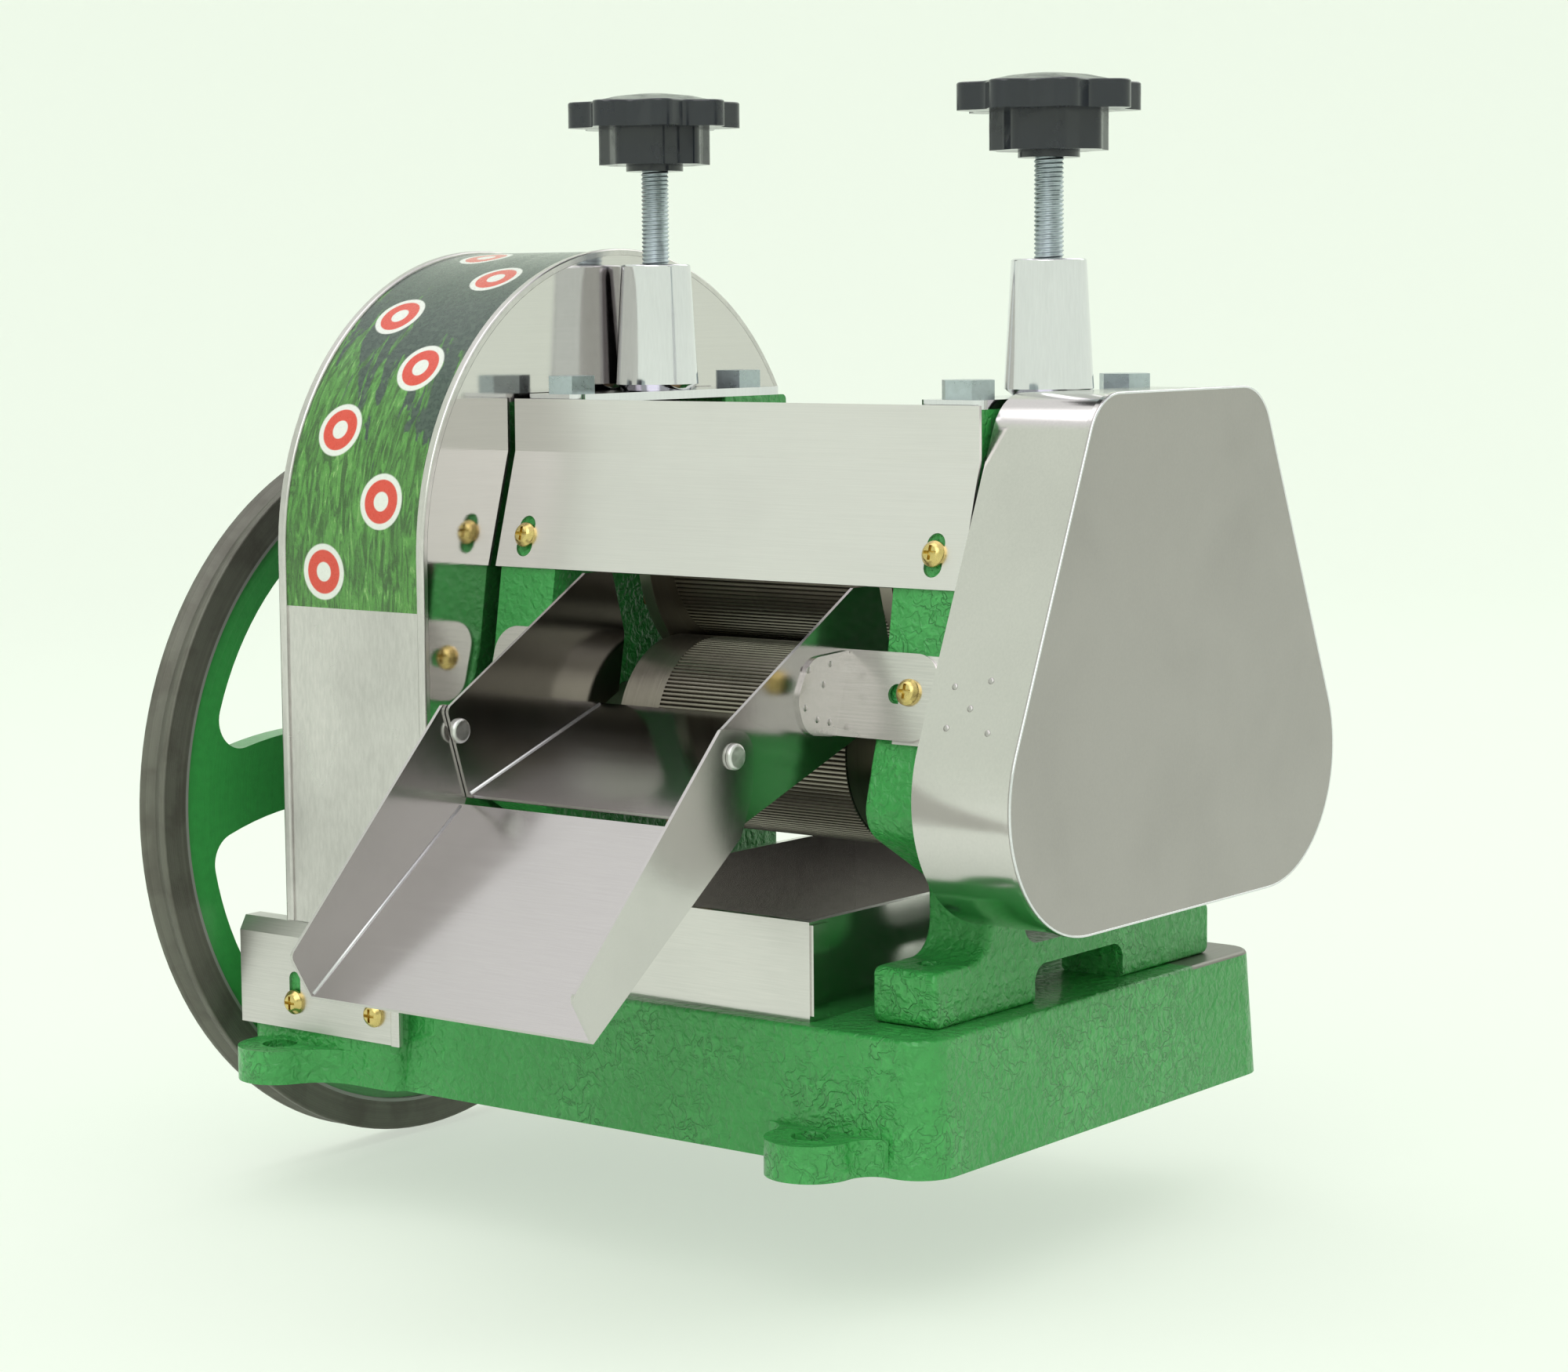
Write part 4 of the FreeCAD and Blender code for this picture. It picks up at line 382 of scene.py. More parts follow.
def enamel_material(name, bare=None):
    """Hammertone green, with painted shade in its hollows and painted highlight on its crests; the bare
    test gives a mask of machined iron.
    """
    tint = colours()
    material, tree, shader, place = new_material(name, IOR=1.5, Coat_Roughness=0.1)
    pebble = group(tree, "Enamel pebble", {"Vector": place, "Size": sizes().pebble})
    # Painted light: darker green in the hollows and creases, lighter green on the crests.
    body = blend(tree, pebble["Tone with painted light"], rgba(tint.enamel_painted_shade), rgba(tint.enamel))
    crest = span(tree, pebble["Tone with painted light"], 0.6, 1.0, 0.0, 0.7)
    colour = blend(tree, crest, body, rgba(tint.enamel_painted_highlight))
    dust = group(tree, "Specks", {"Vector": place, "Spacing": 0.030, "Radius": 0.020,
                                  "Share": 0.12})["Mask"]
    colour = blend(tree, product(tree, dust, 0.3), colour, rgba(tint.dust))
    rough = span(tree, pebble["Tone with painted light"], 0.0, 1.0, 0.44, 0.30)
    coat = span(tree, pebble["Gloss"], 0.0, 1.0, 0.10, 0.28)
    height = pebble["Height"]
    if bare:
        mask = bare(tree, place)
        marks = group(tree, "Brushed grain", {"Vector": place, "Stretch": (900.0, 60.0, 900.0)})
        iron = blend(tree, marks["Streak"], rgba(shaded(tint.machined, 0.7)), rgba(tint.machined))
        colour = blend(tree, mask, colour, iron)
        rough = span(tree, mask, 0.0, 1.0, 0.34, 0.42)
        coat = product(tree, coat, rest(tree, mask))
        height = product(tree, height, rest(tree, mask))
        wire(tree, shader, {"Metallic": mask})
    wire(tree, shader, {"Base Color": colour, "Roughness": rough, "Coat Weight": coat})
    raise_surface(tree, shader, height, 1.0, 0.0018)
    return material


def wheel_material():
    """Green web and bare turned rim, with a bright line where the turning stopped."""
    tint = colours()
    material, tree, shader, place = new_material("Handwheel enamel and rim", IOR=1.5, Coat_Roughness=0.2)
    turned = group(tree, "Turned rings", {"Vector": place, "Centre": WHEEL_CENTRE, "Spacing": 0.0006})
    bare = maths(tree, "GREATER_THAN", turned["Radius"], RIM_FROM)
    edge = product(tree, bare, maths(tree, "LESS_THAN", turned["Radius"], RIM_LINE_TO))
    smooth = noise(tree, place, 320.0, 2.0)
    green = blend(tree, smooth, rgba(shaded(tint.enamel, 0.80)), rgba(shaded(tint.enamel, 1.10)))
    grime = group(tree, "Handling marks", {"Vector": place, "Size": 0.012})["Mask"]
    iron = blend(tree, turned["Rings"], rgba(shaded(tint.rim, 0.75)), rgba(shaded(tint.rim, 1.35)))
    iron = blend(tree, product(tree, grime, 0.5), iron, rgba(tint.grime))
    iron = blend(tree, edge, iron, rgba(tint.rim_line))
    wire(tree, shader, {
        "Base Color": blend(tree, bare, green, iron),
        "Metallic": product(tree, bare, 0.5),
        "Roughness": span(tree, bare, 0.0, 1.0, 0.36, 0.52),
        "Coat Weight": span(tree, bare, 0.0, 1.0, 0.4, 0.0),
    })
    raise_surface(tree, shader, maths(tree, "ADD", smooth, turned["Rings"]), 0.35, 0.0005)
    return material


def steel_material(name, tint, stretch, rough, marks=0.25, weave=0.08, soil=0.0, plate=None):
    """Stainless sheet with its grain along one way, faint handling marks and a few specks.

    The plate test gives a mask of satin sheet, its tint and the roughness that it adds there."""
    material, tree, shader, place = new_material(name, Metallic=1.0, IOR=2.4)
    grain = group(tree, "Brushed grain", {"Vector": place, "Stretch": stretch})
    smudge = group(tree, "Handling marks", {"Vector": place, "Size": 0.06})["Mask"]
    specks = group(tree, "Specks", {"Vector": place, "Spacing": 0.022, "Radius": 0.016,
                                    "Share": 0.3})["Mask"]
    rough = maths(tree, "ADD", product(tree, grain["Band"], 0.08), rough)
    shade = tuple(tint)
    if plate:
        mask, satin, dullness = plate(tree, place)
        shade = blend(tree, mask, rgba(tint), rgba(satin))
        rough = maths(tree, "ADD", rough, product(tree, mask, dullness))
    streak = span(tree, grain["Streak"], 0.2, 0.8, 1.0 - weave, 1.0 + weave)
    film = maths(tree, "SUBTRACT", streak, product(tree, smudge, 0.16 * marks + soil))
    film = maths(tree, "SUBTRACT", film, product(tree, specks, 0.30))
    uneven = product(tree, smudge, 0.10 * marks)
    wire(tree, shader, {"Base Color": scaled(tree, shade, film),
                        "Roughness": maths(tree, "ADD", uneven, rough)})
    raise_surface(tree, shader, grain["Streak"], 0.08, 0.0001)
    return material


def plated_material(name, tint, rough, dull=0.3):
    """Plated steel: bright with a cloudy, slightly uneven film."""
    material, tree, shader, place = new_material(name, Metallic=1.0, IOR=2.2)
    cloud = noise(tree, place, 260.0, 3.0, 0.6, 0.8)
    base = blend(tree, cloud, rgba(shaded(tint, 1.0 - dull)), rgba(shaded(tint, 1.0 + dull * 0.5)))
    wire(tree, shader, {"Base Color": base,
                        "Roughness": span(tree, cloud, 0.3, 0.7, rough, rough + 0.12)})
    raise_surface(tree, shader, noise(tree, place, 1500.0, 2.0), 0.08, 0.0001)
    return material


def roller_material(name, centre, barrel):
    """Turned steel with painted shade in the hollows between the flutes."""
    tint = colours()
    material, tree, shader, place = new_material(name, Metallic=1.0, IOR=2.4)
    turned = group(tree, "Turned rings", {"Vector": place, "Centre": centre, "Spacing": 0.0008})
    # Painted shade: the flute bottoms are darkened by their depth, where shade falls between the crests.
    deep = span(tree, turned["Radius"], barrel - FLUTE_DEPTH, barrel - 0.1 * FLUTE_DEPTH, 1.0, 0.0)
    on_barrel = maths(tree, "GREATER_THAN", turned["Radius"], barrel - 1.6 * FLUTE_DEPTH)
    flute_shade = product(tree, deep, on_barrel)
    stain = group(tree, "Handling marks", {"Vector": place, "Size": 0.02})["Mask"]
    dull, light, stained = (rgba(shaded(tint.roller, factor)) for factor in (0.82, 1.18, 0.55))
    crest = blend(tree, turned["Rings"], dull, light)
    crest = blend(tree, product(tree, stain, 0.3), crest, stained)
    wire(tree, shader, {"Base Color": blend(tree, flute_shade, crest, rgba(tint.roller_painted_shade)),
                        "Roughness": span(tree, turned["Rings"], 0.2, 0.8, 0.28, 0.40)})
    raise_surface(tree, shader, turned["Rings"], 0.2, 0.0003)
    return material


def iron_material(name, tint, rough, oil=0.3):
    """Cut or cast metal with an oily, mottled face."""
    material, tree, shader, place = new_material(name, Metallic=0.9, IOR=2.2, Coat_Roughness=0.2)
    mottle = noise(tree, place, 180.0, 5.0, 0.65, 0.4)
    film = group(tree, "Handling marks", {"Vector": place, "Size": 0.018})["Mask"]
    base = blend(tree, mottle, rgba(shaded(tint, 0.6)), rgba(shaded(tint, 1.4)))
    wire(tree, shader, {"Base Color": base,
                        "Roughness": span(tree, mottle, 0.3, 0.7, rough, rough + 0.18),
                        "Coat Weight": product(tree, film, oil)})
    raise_surface(tree, shader, mottle, 0.25, 0.0004)
    return material


def bakelite_material(name, grime=0.12):
    """Moulded black bakelite with a high gloss, fine scuffs and a little dust."""
    tint = colours()
    material, tree, shader, place = new_material(name, IOR=1.56, Coat_Roughness=0.06)
    scuff = group(tree, "Handling marks", {"Vector": place, "Size": 0.008})["Mask"]
    dust = group(tree, "Specks", {"Vector": place, "Spacing": 0.004, "Radius": 0.05,
                                  "Share": 0.2})["Mask"]
    base = blend(tree, product(tree, scuff, grime), rgba(tint.bakelite), rgba(tint.scuffed))
    base = blend(tree, product(tree, dust, 0.15), base, rgba(tint.black_dust))
    wire(tree, shader, {"Base Color": base, "Roughness": span(tree, scuff, 0.0, 1.0, 0.18, 0.32),
                        "Coat Weight": span(tree, scuff, 0.0, 1.0, 0.15, 0.0)})
    raise_surface(tree, shader, noise(tree, place, 420.0, 2.0), 0.06, 0.0004)
    return material


def panel_material():
    """Printed film: blades of grass on a dark field, with discs in two staggered columns.

    The panel's coordinates are in widths of the panel, across it and along it."""
    tint = colours()
    material, tree, shader, place = new_material("Cover panel print", IOR=1.5, Coat_Roughness=0.1)
    uv = tree.nodes.new("ShaderNodeTexCoord").outputs["UV"]
    across, along = axes(tree, uv)[0:2]
    broken = noise(tree, vector_maths(tree, "MULTIPLY", uv, (30.0, 30.0, 1.0)), 1.0, 3.0)
    spots = span(tree, broken, 0.45, 0.65)
    field = blend(tree, spots, rgba(tint.panel_dark), rgba(tint.panel_mottle))
    blades = noise(tree, vector_maths(tree, "MULTIPLY", uv, (11.0, 2.2, 1.0)), 1.0, 4.0, 0.6, 0.8)
    top = maths(tree, "ADD", product(tree, maths(tree, "SUBTRACT", blades, 0.5), 3.4), 1.75)
    top = maths(tree, "SUBTRACT", top, product(tree, across, 0.7))
    reach = maths(tree, "SUBTRACT", top, along)
    streak = noise(tree, vector_maths(tree, "MULTIPLY", uv, (26.0, 4.0, 1.0)), 1.0, 5.0, 0.7, 1.6)
    green = blend(tree, span(tree, streak, 0.40, 0.60), rgba(shaded(tint.panel_green, 0.35)),
                  rgba(tint.panel_green))
    green = blend(tree, span(tree, streak, 0.58, 0.78), green, rgba(tint.panel_pale))
    colour = blend(tree, span(tree, reach, -0.04, 0.10), field, green)
    row_height = 0.40
    row = maths(tree, "DIVIDE", along, row_height)
    odd = maths(tree, "MODULO", maths(tree, "FLOOR", row), 2.0)
    middle = maths(tree, "ADD", product(tree, odd, 0.42), 0.29)
    side = maths(tree, "SUBTRACT", across, middle)
    rise = product(tree, maths(tree, "SUBTRACT", maths(tree, "FRACT", row), 0.5), row_height)
    square = maths(tree, "ADD", product(tree, side, side), product(tree, rise, rise))
    distance = maths(tree, "SQRT", square)
    for inner, outer, ink in ((0.150, 0.160, tint.panel_white), (0.118, 0.126, tint.panel_red),
                              (0.050, 0.058, tint.panel_white)):
        colour = blend(tree, span(tree, distance, inner, outer, 1.0, 0.0), colour, rgba(ink))
    wire(tree, shader, {"Base Color": colour, "Roughness": span(tree, broken, 0.3, 0.7, 0.24, 0.34),
                        "Coat Weight": span(tree, blades, 0.3, 0.7, 0.3, 0.5)})
    raise_surface(tree, shader, noise(tree, place, 60.0, 2.0), 0.05, 0.0005)
    return material


def backdrop_material():
    """Pale matt floor and wall; the eye and metal see part of the tone as light, and shadows stay."""
    tint = colours().backdrop
    material, tree, shader, place = new_material("Pale backdrop", IOR=1.3, Emission_Strength=1.0)
    tone = noise(tree, place, 0.8, 2.0)
    seen = seen_directly(tree)
    shade = blend(tree, tone, rgba(shaded(tint, 0.985)), rgba(tint))
    wire(tree, shader, {"Base Color": scaled(tree, shade, span(tree, seen, 0.0, 1.0, 0.90, 0.42)),
                        "Emission Color": scaled(tree, shade, product(tree, seen, 0.60)),
                        "Roughness": span(tree, tone, 0.0, 1.0, 0.85, 0.95)})
    return material


# ---------------------------------------------------------------- pieces

def dress(material, *names):
    """Gives CAD nodes their finish."""
    for name in names:
        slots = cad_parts[name].data.materials
        slots.clear()
        slots.append(material)


def new_piece(name, build, material, body):
    """A piece built in mesh code that rides on a CAD body."""
    shape = bmesh.new()
    build(shape)
    mesh = bpy.data.meshes.new(name)
    shape.to_mesh(mesh)
    shape.free()
    mesh.materials.append(material)
    for face in mesh.polygons:
        face.use_smooth = True
    piece = bpy.data.objects.new(name, mesh)
    bpy.context.scene.collection.objects.link(piece)
    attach(piece, body)
    return piece


def turns(sides):
    """The angles of a ring's points."""
    return [2 * math.pi * side / sides for side in range(sides)]


def skin(shape, rings):
    """Side faces between each ring of points and the next."""
    sides = len(rings[0])
    for lower, upper in zip(rings, rings[1:]):
        for side in range(sides):
            after = (side + 1) % sides
            shape.faces.new((lower[side], lower[after], upper[after], upper[side]))


def thread_mesh(shape, centre, low, high, radius, pitch, depth):
    """A screw with a real helical thread: rings of points whose radius follows the helix."""
    sides = 36
    step = pitch / 6
    rows = int((high - low) / step)
    rings = []
    for row in range(rows + 1):
        height = low + (high - low) * row / rows
        ring = []
        for side in range(sides):
            turn = side / sides
            phase = (height / pitch - turn) % 1.0
            swell = abs(phase - 0.5) * 2
            reach = radius - depth * min(max(swell * 1.3 - 0.15, 0.0), 1.0)
            angle = 2 * math.pi * turn
            ring.append(shape.verts.new((centre.x + reach * math.cos(angle),
                                         centre.y + reach * math.sin(angle), height)))
        rings.append(ring)
    skin(shape, rings)
    shape.faces.new(list(reversed(rings[0])))
    shape.faces.new(rings[-1])


def dome_mesh(shape, matrix, radius, height, sides=14, rows=3):
    """A shallow closed dome standing on its local XY plane."""
    rings = []
    for row in range(rows):
        share = row / rows
        reach = radius * math.cos(share * math.pi / 2)
        lift = height * math.sin(share * math.pi / 2)
        rings.append([shape.verts.new(matrix @ Vector((reach * math.cos(turn),
                                                       reach * math.sin(turn), lift)))
                      for turn in turns(sides)])
    top = shape.verts.new(matrix @ Vector((0, 0, height)))
    skin(shape, rings)
    for side in range(sides):
        shape.faces.new((rings[-1][side], rings[-1][(side + 1) % sides], top))
    shape.faces.new(list(reversed(rings[0])))


def facing(spot, normal):
    """The matrix that stands a mark on a surface."""
    turn = Vector((0, 0, 1)).rotation_difference(Vector(normal)).to_matrix().to_4x4()
    return Matrix.Translation(Vector(spot)) @ turn


class JUICER_OT_castings(bpy.types.Operator):
    """Hammertone green on the base and the stands, with the base's bare machined rear"""
    bl_idname = "juicer.castings"
    bl_label = "Castings"

    def execute(self, context):
        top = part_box("base_casting")[1].z

        def machined_rear(tree, place):
            y, z = axes(tree, place)[1:3]
            level = maths(tree, "GREATER_THAN", z, top - MACHINED_DEPTH)
            edge = maths(tree, "ADD", y, product(tree, noise(tree, place, 40.0, 3.0), 0.012))
            return product(tree, level, span(tree, edge, MACHINED_FROM, MACHINED_TO))

        dress(enamel_material("Base enamel", machined_rear), "base_casting")
        dress(enamel_material("Stand enamel"), "left_stand", "right_stand", "outer_stand")
        return {"FINISHED"}


class JUICER_OT_handwheel(bpy.types.Operator):
    """Enamelled handwheel with its turned rim, its shaft and the crank grip"""
    bl_idname = "juicer.handwheel"
    bl_label = "Handwheel and crank"

    def execute(self, context):
        tint = colours()
        dress(wheel_material(), "handwheel")
        dress(iron_material("Wheel shaft steel", shaded(tint.machined, 1.6), 0.3), "wheel_shaft")
        dress(plated_material("Crank zinc", tint.zinc, 0.3), "wheel_nut", "crank_bolt", "crank_nut")
        dress(bakelite_material("Grip bakelite", 0.3), "crank_grip")
        return {"FINISHED"}


class JUICER_OT_covers(bpy.types.Operator):
    """Stainless covers: front guard, arch cover, its inner plate and foot bracket, roller gear cover"""
    bl_idname = "juicer.covers"
    bl_label = "Covers"

    def execute(self, context):
        tint = colours()
        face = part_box("gear_cover")[1].x - PLATE_EDGE

        def front_plate(tree, place):
            return maths(tree, "GREATER_THAN", axes(tree, place)[0], face), tint.cover, 0.22

        dress(steel_material("Front guard steel", tint.guard, (30.0, 2600.0, 2600.0), 0.30,
                             marks=0.3, weave=0.03), "front_guard")
        dress(steel_material("Arch cover steel", tint.sheet, (900.0, 200.0, 200.0), 0.22,
                             marks=0.8, soil=0.04), "arch_cover")
        dress(steel_material("Bracket steel", tint.sheet, (60.0, 2600.0, 2600.0), 0.30,
                             marks=0.6), "arch_foot_bracket")
        dress(steel_material("Inner plate steel", tint.polished, (2600.0, 30.0, 2600.0), 0.02,
                             marks=0.2, weave=0.02), "arch_inner_plate")
        dress(steel_material("Lug steel", tint.guard, (60.0, 2600.0, 2600.0), 0.26,
                             marks=0.4), "cover_lug")
        dress(steel_material("Roller gear cover steel", tint.polished, (1500.0, 1500.0, 900.0), 0.10,
                             marks=0.4, weave=0.03, plate=front_plate), "gear_cover")
        return {"FINISHED"}


def joined_copy(mesh):
    """A copy of a mesh whose faces share their corner points."""
    shape = bmesh.new()
    shape.from_mesh(mesh)
    bmesh.ops.remove_doubles(shape, verts=shape.verts, dist=1e-6)
    return shape


def outline_of(mesh, level):
    """The outer loop, as ordered points, of the flat face that a mesh has at a place along X."""
    shape = joined_copy(mesh)
    flat = [face for face in shape.faces
            if all(abs(corner.co.x - level) < 5e-5 for corner in face.verts)]
    after = {}
    for face in flat:
        for loop in face.loops:
            if sum(other in flat for other in loop.edge.link_faces) == 1:
                after[loop.vert.index] = loop.link_loop_next.vert.index
    shape.verts.ensure_lookup_table()
    loops = []
    while after:
        first = next(iter(after))
        ring = []
        while first in after:
            ring.append(shape.verts[first].co.copy())
            first = after.pop(first)
        loops.append(ring)
    shape.free()
    if not loops:
        raise RuntimeError("The roller gear cover has no flat front plate")
    return max(loops, key=lambda ring: sum((a - b).length for a, b in zip(ring, ring[1:])))


def bead_mesh(shape, path, radius, sides=8):
    """A closed round bead along a loop in a plane of constant X."""
    rings = []
    for index, point in enumerate(path):
        ahead = (path[(index + 1) % len(path)] - path[index - 1]).normalized()
        out = ahead.cross(Vector((1, 0, 0)))
        rings.append([shape.verts.new(point + (out * math.cos(turn)
                                               + Vector((math.sin(turn), 0, 0))) * radius)
                      for turn in turns(sides)])
    skin(shape, rings + rings[:1])
    bmesh.ops.recalc_face_normals(shape, faces=shape.faces)


class JUICER_OT_cover_seam(bpy.types.Operator):
    """Bright rolled edge round the front plate of the roller gear cover"""
    bl_idname = "juicer.cover_seam"
    bl_label = "Cover seam"

    def execute(self, context):
        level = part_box("gear_cover")[1].x
        rim = outline_of(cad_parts["gear_cover"].data, level)
        path = [rim[0]]
        for point in rim[1:]:
            if (point - path[-1]).length > sizes().seam_spacing:
                path.append(point)
        path = [point - Vector((sizes().seam_inset, 0, 0)) for point in path]
        steel = steel_material("Seam steel", colours().chrome, (900.0, 900.0, 900.0), 0.08,
                               marks=0.2, weave=0.05)

        def build(shape):
            bead_mesh(shape, path, sizes().seam_radius)

        new_piece("cover_seam", build, steel, "frame")
        return {"FINISHED"}


class JUICER_OT_cover_panel(bpy.types.Operator):
    """Printed film round the front of the arch cover: dark field, grass and discs"""
    bl_idname = "juicer.cover_panel"
    bl_label = "Cover panel"

    def execute(self, context):
        low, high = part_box("arch_cover")
        left = low.x + ARCH_HEM
        width = high.x - ARCH_HEM - left
        radius = ARCH_RADIUS + sizes().panel_lift
        straights, bends, columns = 3, 64, 6
        path = [(-radius, PANEL_FOOT + (ARCH_CENTRE - PANEL_FOOT) * step / straights)
                for step in range(straights)]
        path += [(-radius * math.cos(turn), ARCH_CENTRE + radius * math.sin(turn))
                 for turn in [(math.pi - PANEL_END) * step / bends for step in range(bends + 1)]]
        lengths = [0.0]
        for before, after in zip(path, path[1:]):
            lengths.append(lengths[-1] + math.dist(before, after))

        def build(shape):
            layer = shape.loops.layers.uv.new("Panel")
            grid = [[shape.verts.new((left + width * column / columns, y, z))
                     for column in range(columns + 1)] for y, z in path]
            for row in range(len(path) - 1):
                for column in range(columns):
                    corners = [(row, column), (row, column + 1), (row + 1, column + 1), (row + 1, column)]
                    face = shape.faces.new([grid[r][c] for r, c in corners])
                    for loop, (r, c) in zip(face.loops, corners):
                        loop[layer].uv = (c / columns, lengths[r] / width)

        new_piece("cover_panel", build, panel_material(), "frame")
        return {"FINISHED"}


def inner_bends(mesh):
    """The two ends of each long sharp inner corner of a folded sheet."""
    shape = joined_copy(mesh)
    shortest, sharpest = 0.03, -math.radians(60)
    bends = [tuple(end.co.copy() for end in edge.verts) for edge in shape.edges
             if len(edge.link_faces) == 2 and edge.calc_length() > shortest
             and edge.calc_face_angle_signed() < sharpest]
    shape.free()
    if not bends:
        raise RuntimeError("The folded sheet has no inner bends")
    return bends


def rod_mesh(shape, start, end, radius, sides=8):
    """A slim closed rod from one point to another."""
    turn = (end - start).to_track_quat("Z", "Y").to_matrix().to_4x4()
    bmesh.ops.create_cone(shape, cap_ends=True, segments=sides, radius1=radius, radius2=radius,
                          depth=(end - start).length,
                          matrix=Matrix.Translation((start + end) / 2) @ turn)


class JUICER_OT_chute_and_tray(bpy.types.Operator):
    """Stainless feed chute, its folding extension, tabs and rivets, and the juice tray"""
    bl_idname = "juicer.chute_and_tray"
    bl_label = "Chute and tray"

    def execute(self, context):
        tint = colours()
        dress(steel_material("Chute steel", shaded(tint.polished, 0.72), (60.0, 3000.0, 3000.0), 0.06,
                             marks=0.5, weave=0.04), "feed_chute")
        dress(steel_material("Extension steel", shaded(tint.polished, 0.88), (60.0, 3000.0, 3000.0),
                             0.13, marks=0.5, weave=0.03), "chute_extension")
        dress(steel_material("Tab steel", tint.sheet, (60.0, 1800.0, 1800.0), 0.20,
                             marks=0.4), "chute_tabs")
        dress(steel_material("Tray steel", tint.polished, (50.0, 2400.0, 2400.0), 0.12,
                             marks=0.5, weave=0.04), "juice_tray")
        dress(plated_material("Rivet aluminium", tint.aluminium, 0.28), "chute_rivets")
        # Partly real, partly painted highlight: slim rods round off the chute's sharp inner bends, and
        # their bright chrome tint stands in for the light those bends catch.
        bright = steel_material("Bend highlight steel", tint.chrome, (900.0, 60.0, 60.0), 0.34,
                                marks=0.2, weave=0.06)
        for node, body in (("chute_extension", "extension"), ("feed_chute", "frame")):
            bends = inner_bends(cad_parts[node].data)

            def build(shape):
                for start, end in bends:
                    inset = (end - start).normalized() * sizes().bend_inset
                    rod_mesh(shape, start + inset, end - inset, sizes().bend_radius)

            new_piece(node + "_bends", build, bright, body)
        return {"FINISHED"}


class JUICER_OT_spot_welds(bpy.types.Operator):
    """Small spot weld marks on the chute tabs and on the roller gear cover's band"""
    bl_idname = "juicer.spot_welds"
    bl_label = "Spot welds"

    def execute(self, context):
        radius, height = sizes().weld_radius, sizes().weld_height
        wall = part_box("feed_chute")[1].x + TAB_SHEET
        middle = (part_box("feed_chute")[0].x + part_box("feed_chute")[1].x) / 2
        steel = steel_material("Weld mark steel", shaded(colours().sheet, 0.75),
                               (900.0, 900.0, 900.0), 0.3)
        on_wall = ((-0.0993, 0.1590), (-0.0876, 0.1600), (-0.0914, 0.1537), (-0.1010, 0.1470),
                   (-0.0949, 0.1427), (-0.0884, 0.1412))
        on_band = ((0.1586, 0.1558), (0.1716, 0.1583), (0.1662, 0.1496), (0.1590, 0.1433),
                   (0.1747, 0.1428))

        def build_tabs(shape):
            for y, z in on_wall:
                dome_mesh(shape, facing((wall, y, z), (1, 0, 0)), radius, height)
                dome_mesh(shape, facing((2 * middle - wall, y, z), (-1, 0, 0)), radius, height)

        def build_band(shape):
            outward = (0, -math.cos(BAND_SLOPE), math.sin(BAND_SLOPE))
            for x, z in on_band:
                half = BAND_TOP_HALF + (BAND_TOP - z) * math.tan(BAND_SLOPE)
                dome_mesh(shape, facing((x, -half, z), outward), radius, height)

        new_piece("tab_spot_welds", build_tabs, steel, "frame")
        new_piece("cover_spot_welds", build_band, steel, "frame")
        return {"FINISHED"}


class JUICER_OT_rollers(bpy.types.Operator):
    """Fluted steel rollers"""
    bl_idname = "juicer.rollers"
    bl_label = "Rollers"

    def execute(self, context):
        for name, (centre, barrel) in ROLLERS.items():
            title = name.replace("_", " ").capitalize() + " steel"
            dress(roller_material(title, centre, barrel), name)
        return {"FINISHED"}


class JUICER_OT_gears(bpy.types.Operator):
    """Oily iron gears, bronze bushes and bearing blocks"""
    bl_idname = "juicer.gears"
    bl_label = "Gears and bearings"

    def execute(self, context):
        tint = colours()
        dress(iron_material("Gear iron", tint.gear, 0.34, oil=0.6), "top_roller_gear",
              "front_roller_gear", "rear_roller_gear", "drive_gear", "drive_pinion")
        dress(iron_material("Bearing bronze", tint.bronze, 0.32), "front_roller_bushes",
              "rear_roller_bushes", "shaft_bushes", "left_bearing_block", "right_bearing_block")
        return {"FINISHED"}


class JUICER_OT_pressure_units(bpy.types.Operator):
    """Chromed spring housings, springs and caps, and the star knobs"""
    bl_idname = "juicer.pressure_units"
    bl_label = "Pressure units"

    def execute(self, context):
        tint = colours()
        dress(steel_material("Housing chrome", tint.chrome, (1500.0, 1500.0, 90.0), 0.05,
                             marks=0.3, weave=0.03), "left_spring_housing", "right_spring_housing")
        dress(iron_material("Spring steel", tint.spring, 0.3), "left_spring", "right_spring")
        dress(iron_material("Cap steel", tint.cap, 0.3), "left_spring_cap", "right_spring_cap")
        dress(bakelite_material("Knob bakelite"), "left_star_knob", "right_star_knob")
        return {"FINISHED"}


class JUICER_OT_pressure_screws(bpy.types.Operator):
    """Zinc plated pressure screws with real helical threads"""
    bl_idname = "juicer.pressure_screws"
    bl_label = "Pressure screws"

    def execute(self, context):
        zinc = plated_material("Screw zinc", colours().zinc, 0.30, dull=0.45)
        for side in ("left", "right"):
            node = side + "_pressure_screw"
            low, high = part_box(node)
            centre = (low + high) / 2
            radius = (high.x - low.x) / 2

            def build(shape):
                thread_mesh(shape, centre, low.z, high.z, radius, sizes().thread_pitch,
                            sizes().thread_depth)

            screw = new_piece(side + "_threaded_screw", build, zinc, side + "_knob")
            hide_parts(node)
        return {"FINISHED"}


class JUICER_OT_fasteners(bpy.types.Operator):
    """Zinc hex bolts and nuts, and yellow zinc pan head screws"""
    bl_idname = "juicer.fasteners"
    bl_label = "Fasteners"

    def execute(self, context):
        tint = colours()
        dress(plated_material("Bolt zinc", tint.zinc, 0.26), "housing_bolts", "stand_bolts",
              "top_gear_nut", "front_gear_nut", "rear_gear_nut", "drive_gear_nut")
        dress(plated_material("Screw yellow zinc", tint.yellow_zinc, 0.20), "guard_screws",
              "tab_screws", "foot_screws")
        return {"FINISHED"}


# ---------------------------------------------------------------- stage

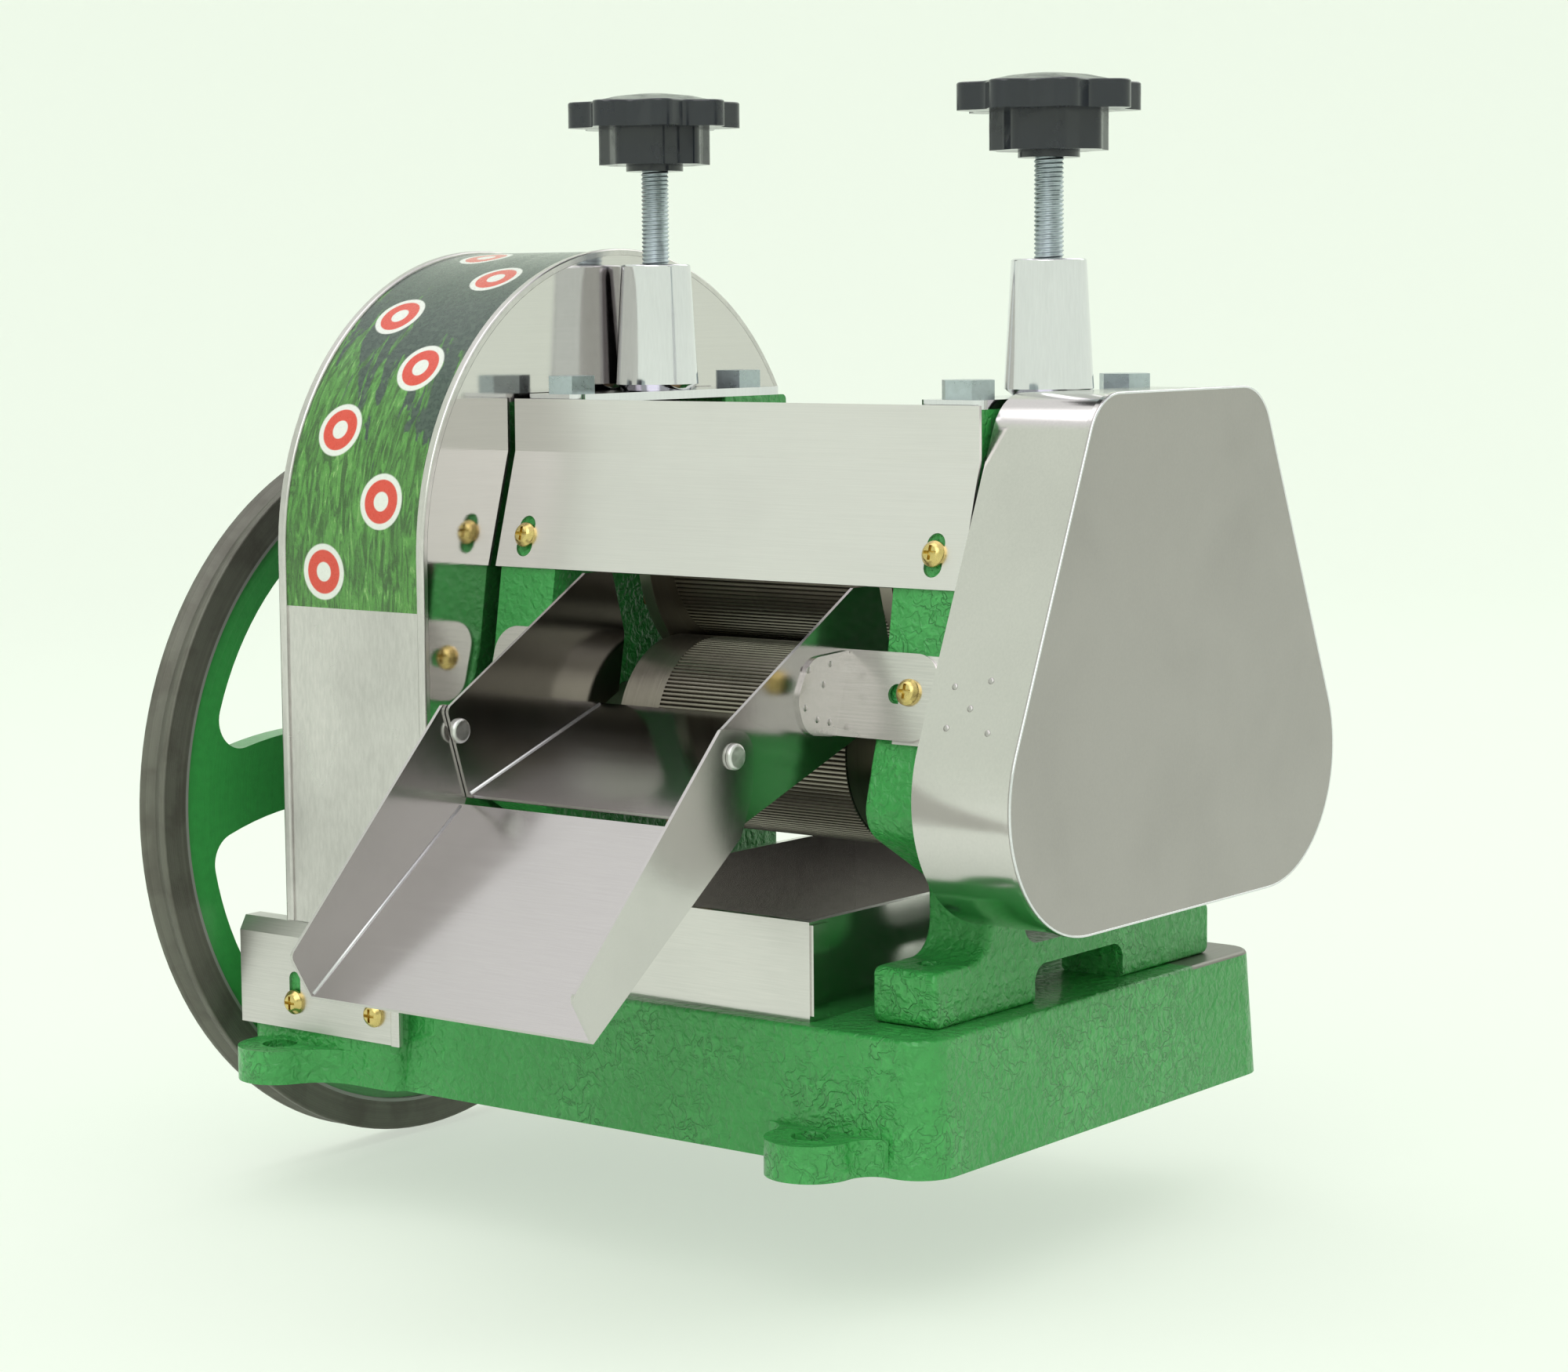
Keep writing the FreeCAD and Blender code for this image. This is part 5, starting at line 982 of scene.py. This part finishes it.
def add_lamp(name, spot, aim, size, power):
    """A soft round lamp that faces a point."""
    light = bpy.data.lights.new(name, "AREA")
    light.shape = "DISK"
    light.size = size
    light.energy = power
    lamp = bpy.data.objects.new(name, light)
    lamp.location = spot
    lamp.rotation_euler = (Vector(aim) - Vector(spot)).to_track_quat("-Z", "Y").to_euler()
    bpy.context.scene.collection.objects.link(lamp)


def add_camera():
    """Long lens from the right front, a little above the knobs' level."""
    camera = bpy.data.cameras.new("Camera")
    camera.sensor_fit = "HORIZONTAL"
    camera.sensor_width = 36.0
    camera.lens = 81.09
    camera.clip_start = 0.05
    camera.clip_end = 60.0
    azimuth, pitch, roll = math.radians(37.8592), math.radians(6.3313), math.radians(-0.4612)
    aim, distance = Vector((0.02214, 0.0, 0.13941)), 1.25822
    back = Vector((math.sin(azimuth) * math.cos(pitch), -math.cos(azimuth) * math.cos(pitch),
                   math.sin(pitch)))
    right = (-back).cross(Vector((0, 0, 1))).normalized()
    up = right.cross(-back)
    right, up = (right * math.cos(roll) + up * math.sin(roll),
                 up * math.cos(roll) - right * math.sin(roll))
    turn = Matrix((right, up, back)).transposed().to_4x4()
    holder = bpy.data.objects.new("Camera", camera)
    holder.matrix_world = Matrix.Translation(aim + back * distance) @ turn
    bpy.context.scene.collection.objects.link(holder)
    bpy.context.scene.camera = holder


def add_backdrop():
    """A flat floor that curves up into a wall all round."""
    radius = sizes().floor_radius
    level = CAD_BOX[0][2] - FLOOR_GAP
    bend, wall, sides = 1.6, 4.0, 72
    profile = [(radius * step / 4, 0.0) for step in range(5)]
    profile += [(radius + bend * math.sin(turn), bend - bend * math.cos(turn))
                for turn in [math.pi / 2 * step / 12 for step in range(1, 13)]]
    profile.append((radius + bend, wall))

    shape = bmesh.new()
    centre = shape.verts.new((0, 0, level))
    rings = [[shape.verts.new((reach * math.cos(turn), reach * math.sin(turn), level + lift))
              for turn in turns(sides)] for reach, lift in profile[1:]]
    for side in range(sides):
        shape.faces.new((centre, rings[0][side], rings[0][(side + 1) % sides]))
    for lower, upper in zip(rings, rings[1:]):
        for side in range(sides):
            after = (side + 1) % sides
            shape.faces.new((lower[side], upper[side], upper[after], lower[after]))
    mesh = bpy.data.meshes.new("Backdrop")
    shape.to_mesh(mesh)
    shape.free()
    for face in mesh.polygons:
        face.use_smooth = True
    mesh.materials.append(backdrop_material())
    floor = bpy.data.objects.new("Backdrop", mesh)
    bpy.context.scene.collection.objects.link(floor)


def set_world():
    """Even pale light, a little brighter to the eye and in metal than on matt faces."""
    world = bpy.data.worlds.new("Studio")
    bpy.context.scene.world = world
    world.use_nodes = True
    tree = world.node_tree
    brightness = span(tree, seen_directly(tree), 0.0, 1.0, 0.95, 1.0)
    wire(tree, tree.nodes["Background"], {"Color": rgba(colours().room), "Strength": brightness})


class JUICER_OT_stage(bpy.types.Operator):
    """Pale floor and backdrop, soft lamps and the camera"""
    bl_idname = "juicer.stage"
    bl_label = "Stage"

    def execute(self, context):
        bpy.context.scene.view_settings.view_transform = "Standard"
        set_world()
        add_backdrop()
        aim = (0.0, 0.0, 0.15)
        add_lamp("Key lamp", (1.0, -2.3, 2.3), aim, 2.6, 27.0)
        add_lamp("Top lamp", (-0.6, -0.6, 3.0), aim, 2.4, 14.0)
        add_lamp("Rear lamp", (0.3, 2.4, 2.1), aim, 2.2, 12.0)
        add_camera()
        return {"FINISHED"}


STEPS = (
    JUICER_OT_castings,
    JUICER_OT_handwheel,
    JUICER_OT_covers,
    JUICER_OT_cover_seam,
    JUICER_OT_cover_panel,
    JUICER_OT_chute_and_tray,
    JUICER_OT_spot_welds,
    JUICER_OT_rollers,
    JUICER_OT_gears,
    JUICER_OT_pressure_units,
    JUICER_OT_pressure_screws,
    JUICER_OT_fasteners,
    JUICER_OT_stage,
)


class JUICER_PT_panel(bpy.types.Panel):
    """Steps and settings of the juicer's looks"""
    bl_idname = "JUICER_PT_panel"
    bl_label = "Juicer"
    bl_space_type = "VIEW_3D"
    bl_region_type = "UI"
    bl_category = "Juicer"

    def draw(self, context):
        for step in STEPS:
            self.layout.operator(step.bl_idname)
        for settings in (context.scene.juicer_sizes, context.scene.juicer_colours):
            for name in settings.__annotations__:
                self.layout.prop(settings, name)


CLASSES = (JuicerColours, JuicerSizes) + STEPS + (JUICER_PT_panel,)


def register():
    for item in CLASSES:
        bpy.utils.register_class(item)
    bpy.types.Scene.juicer_colours = PointerProperty(type=JuicerColours)
    bpy.types.Scene.juicer_sizes = PointerProperty(type=JuicerSizes)


def unregister():
    del bpy.types.Scene.juicer_sizes
    del bpy.types.Scene.juicer_colours
    for item in reversed(CLASSES):
        bpy.utils.unregister_class(item)


def main():
    register()
    make_groups()
    for step in STEPS:
        area, name = step.bl_idname.split(".")
        getattr(getattr(bpy.ops, area), name)()


if __name__ == "__main__":
    main()
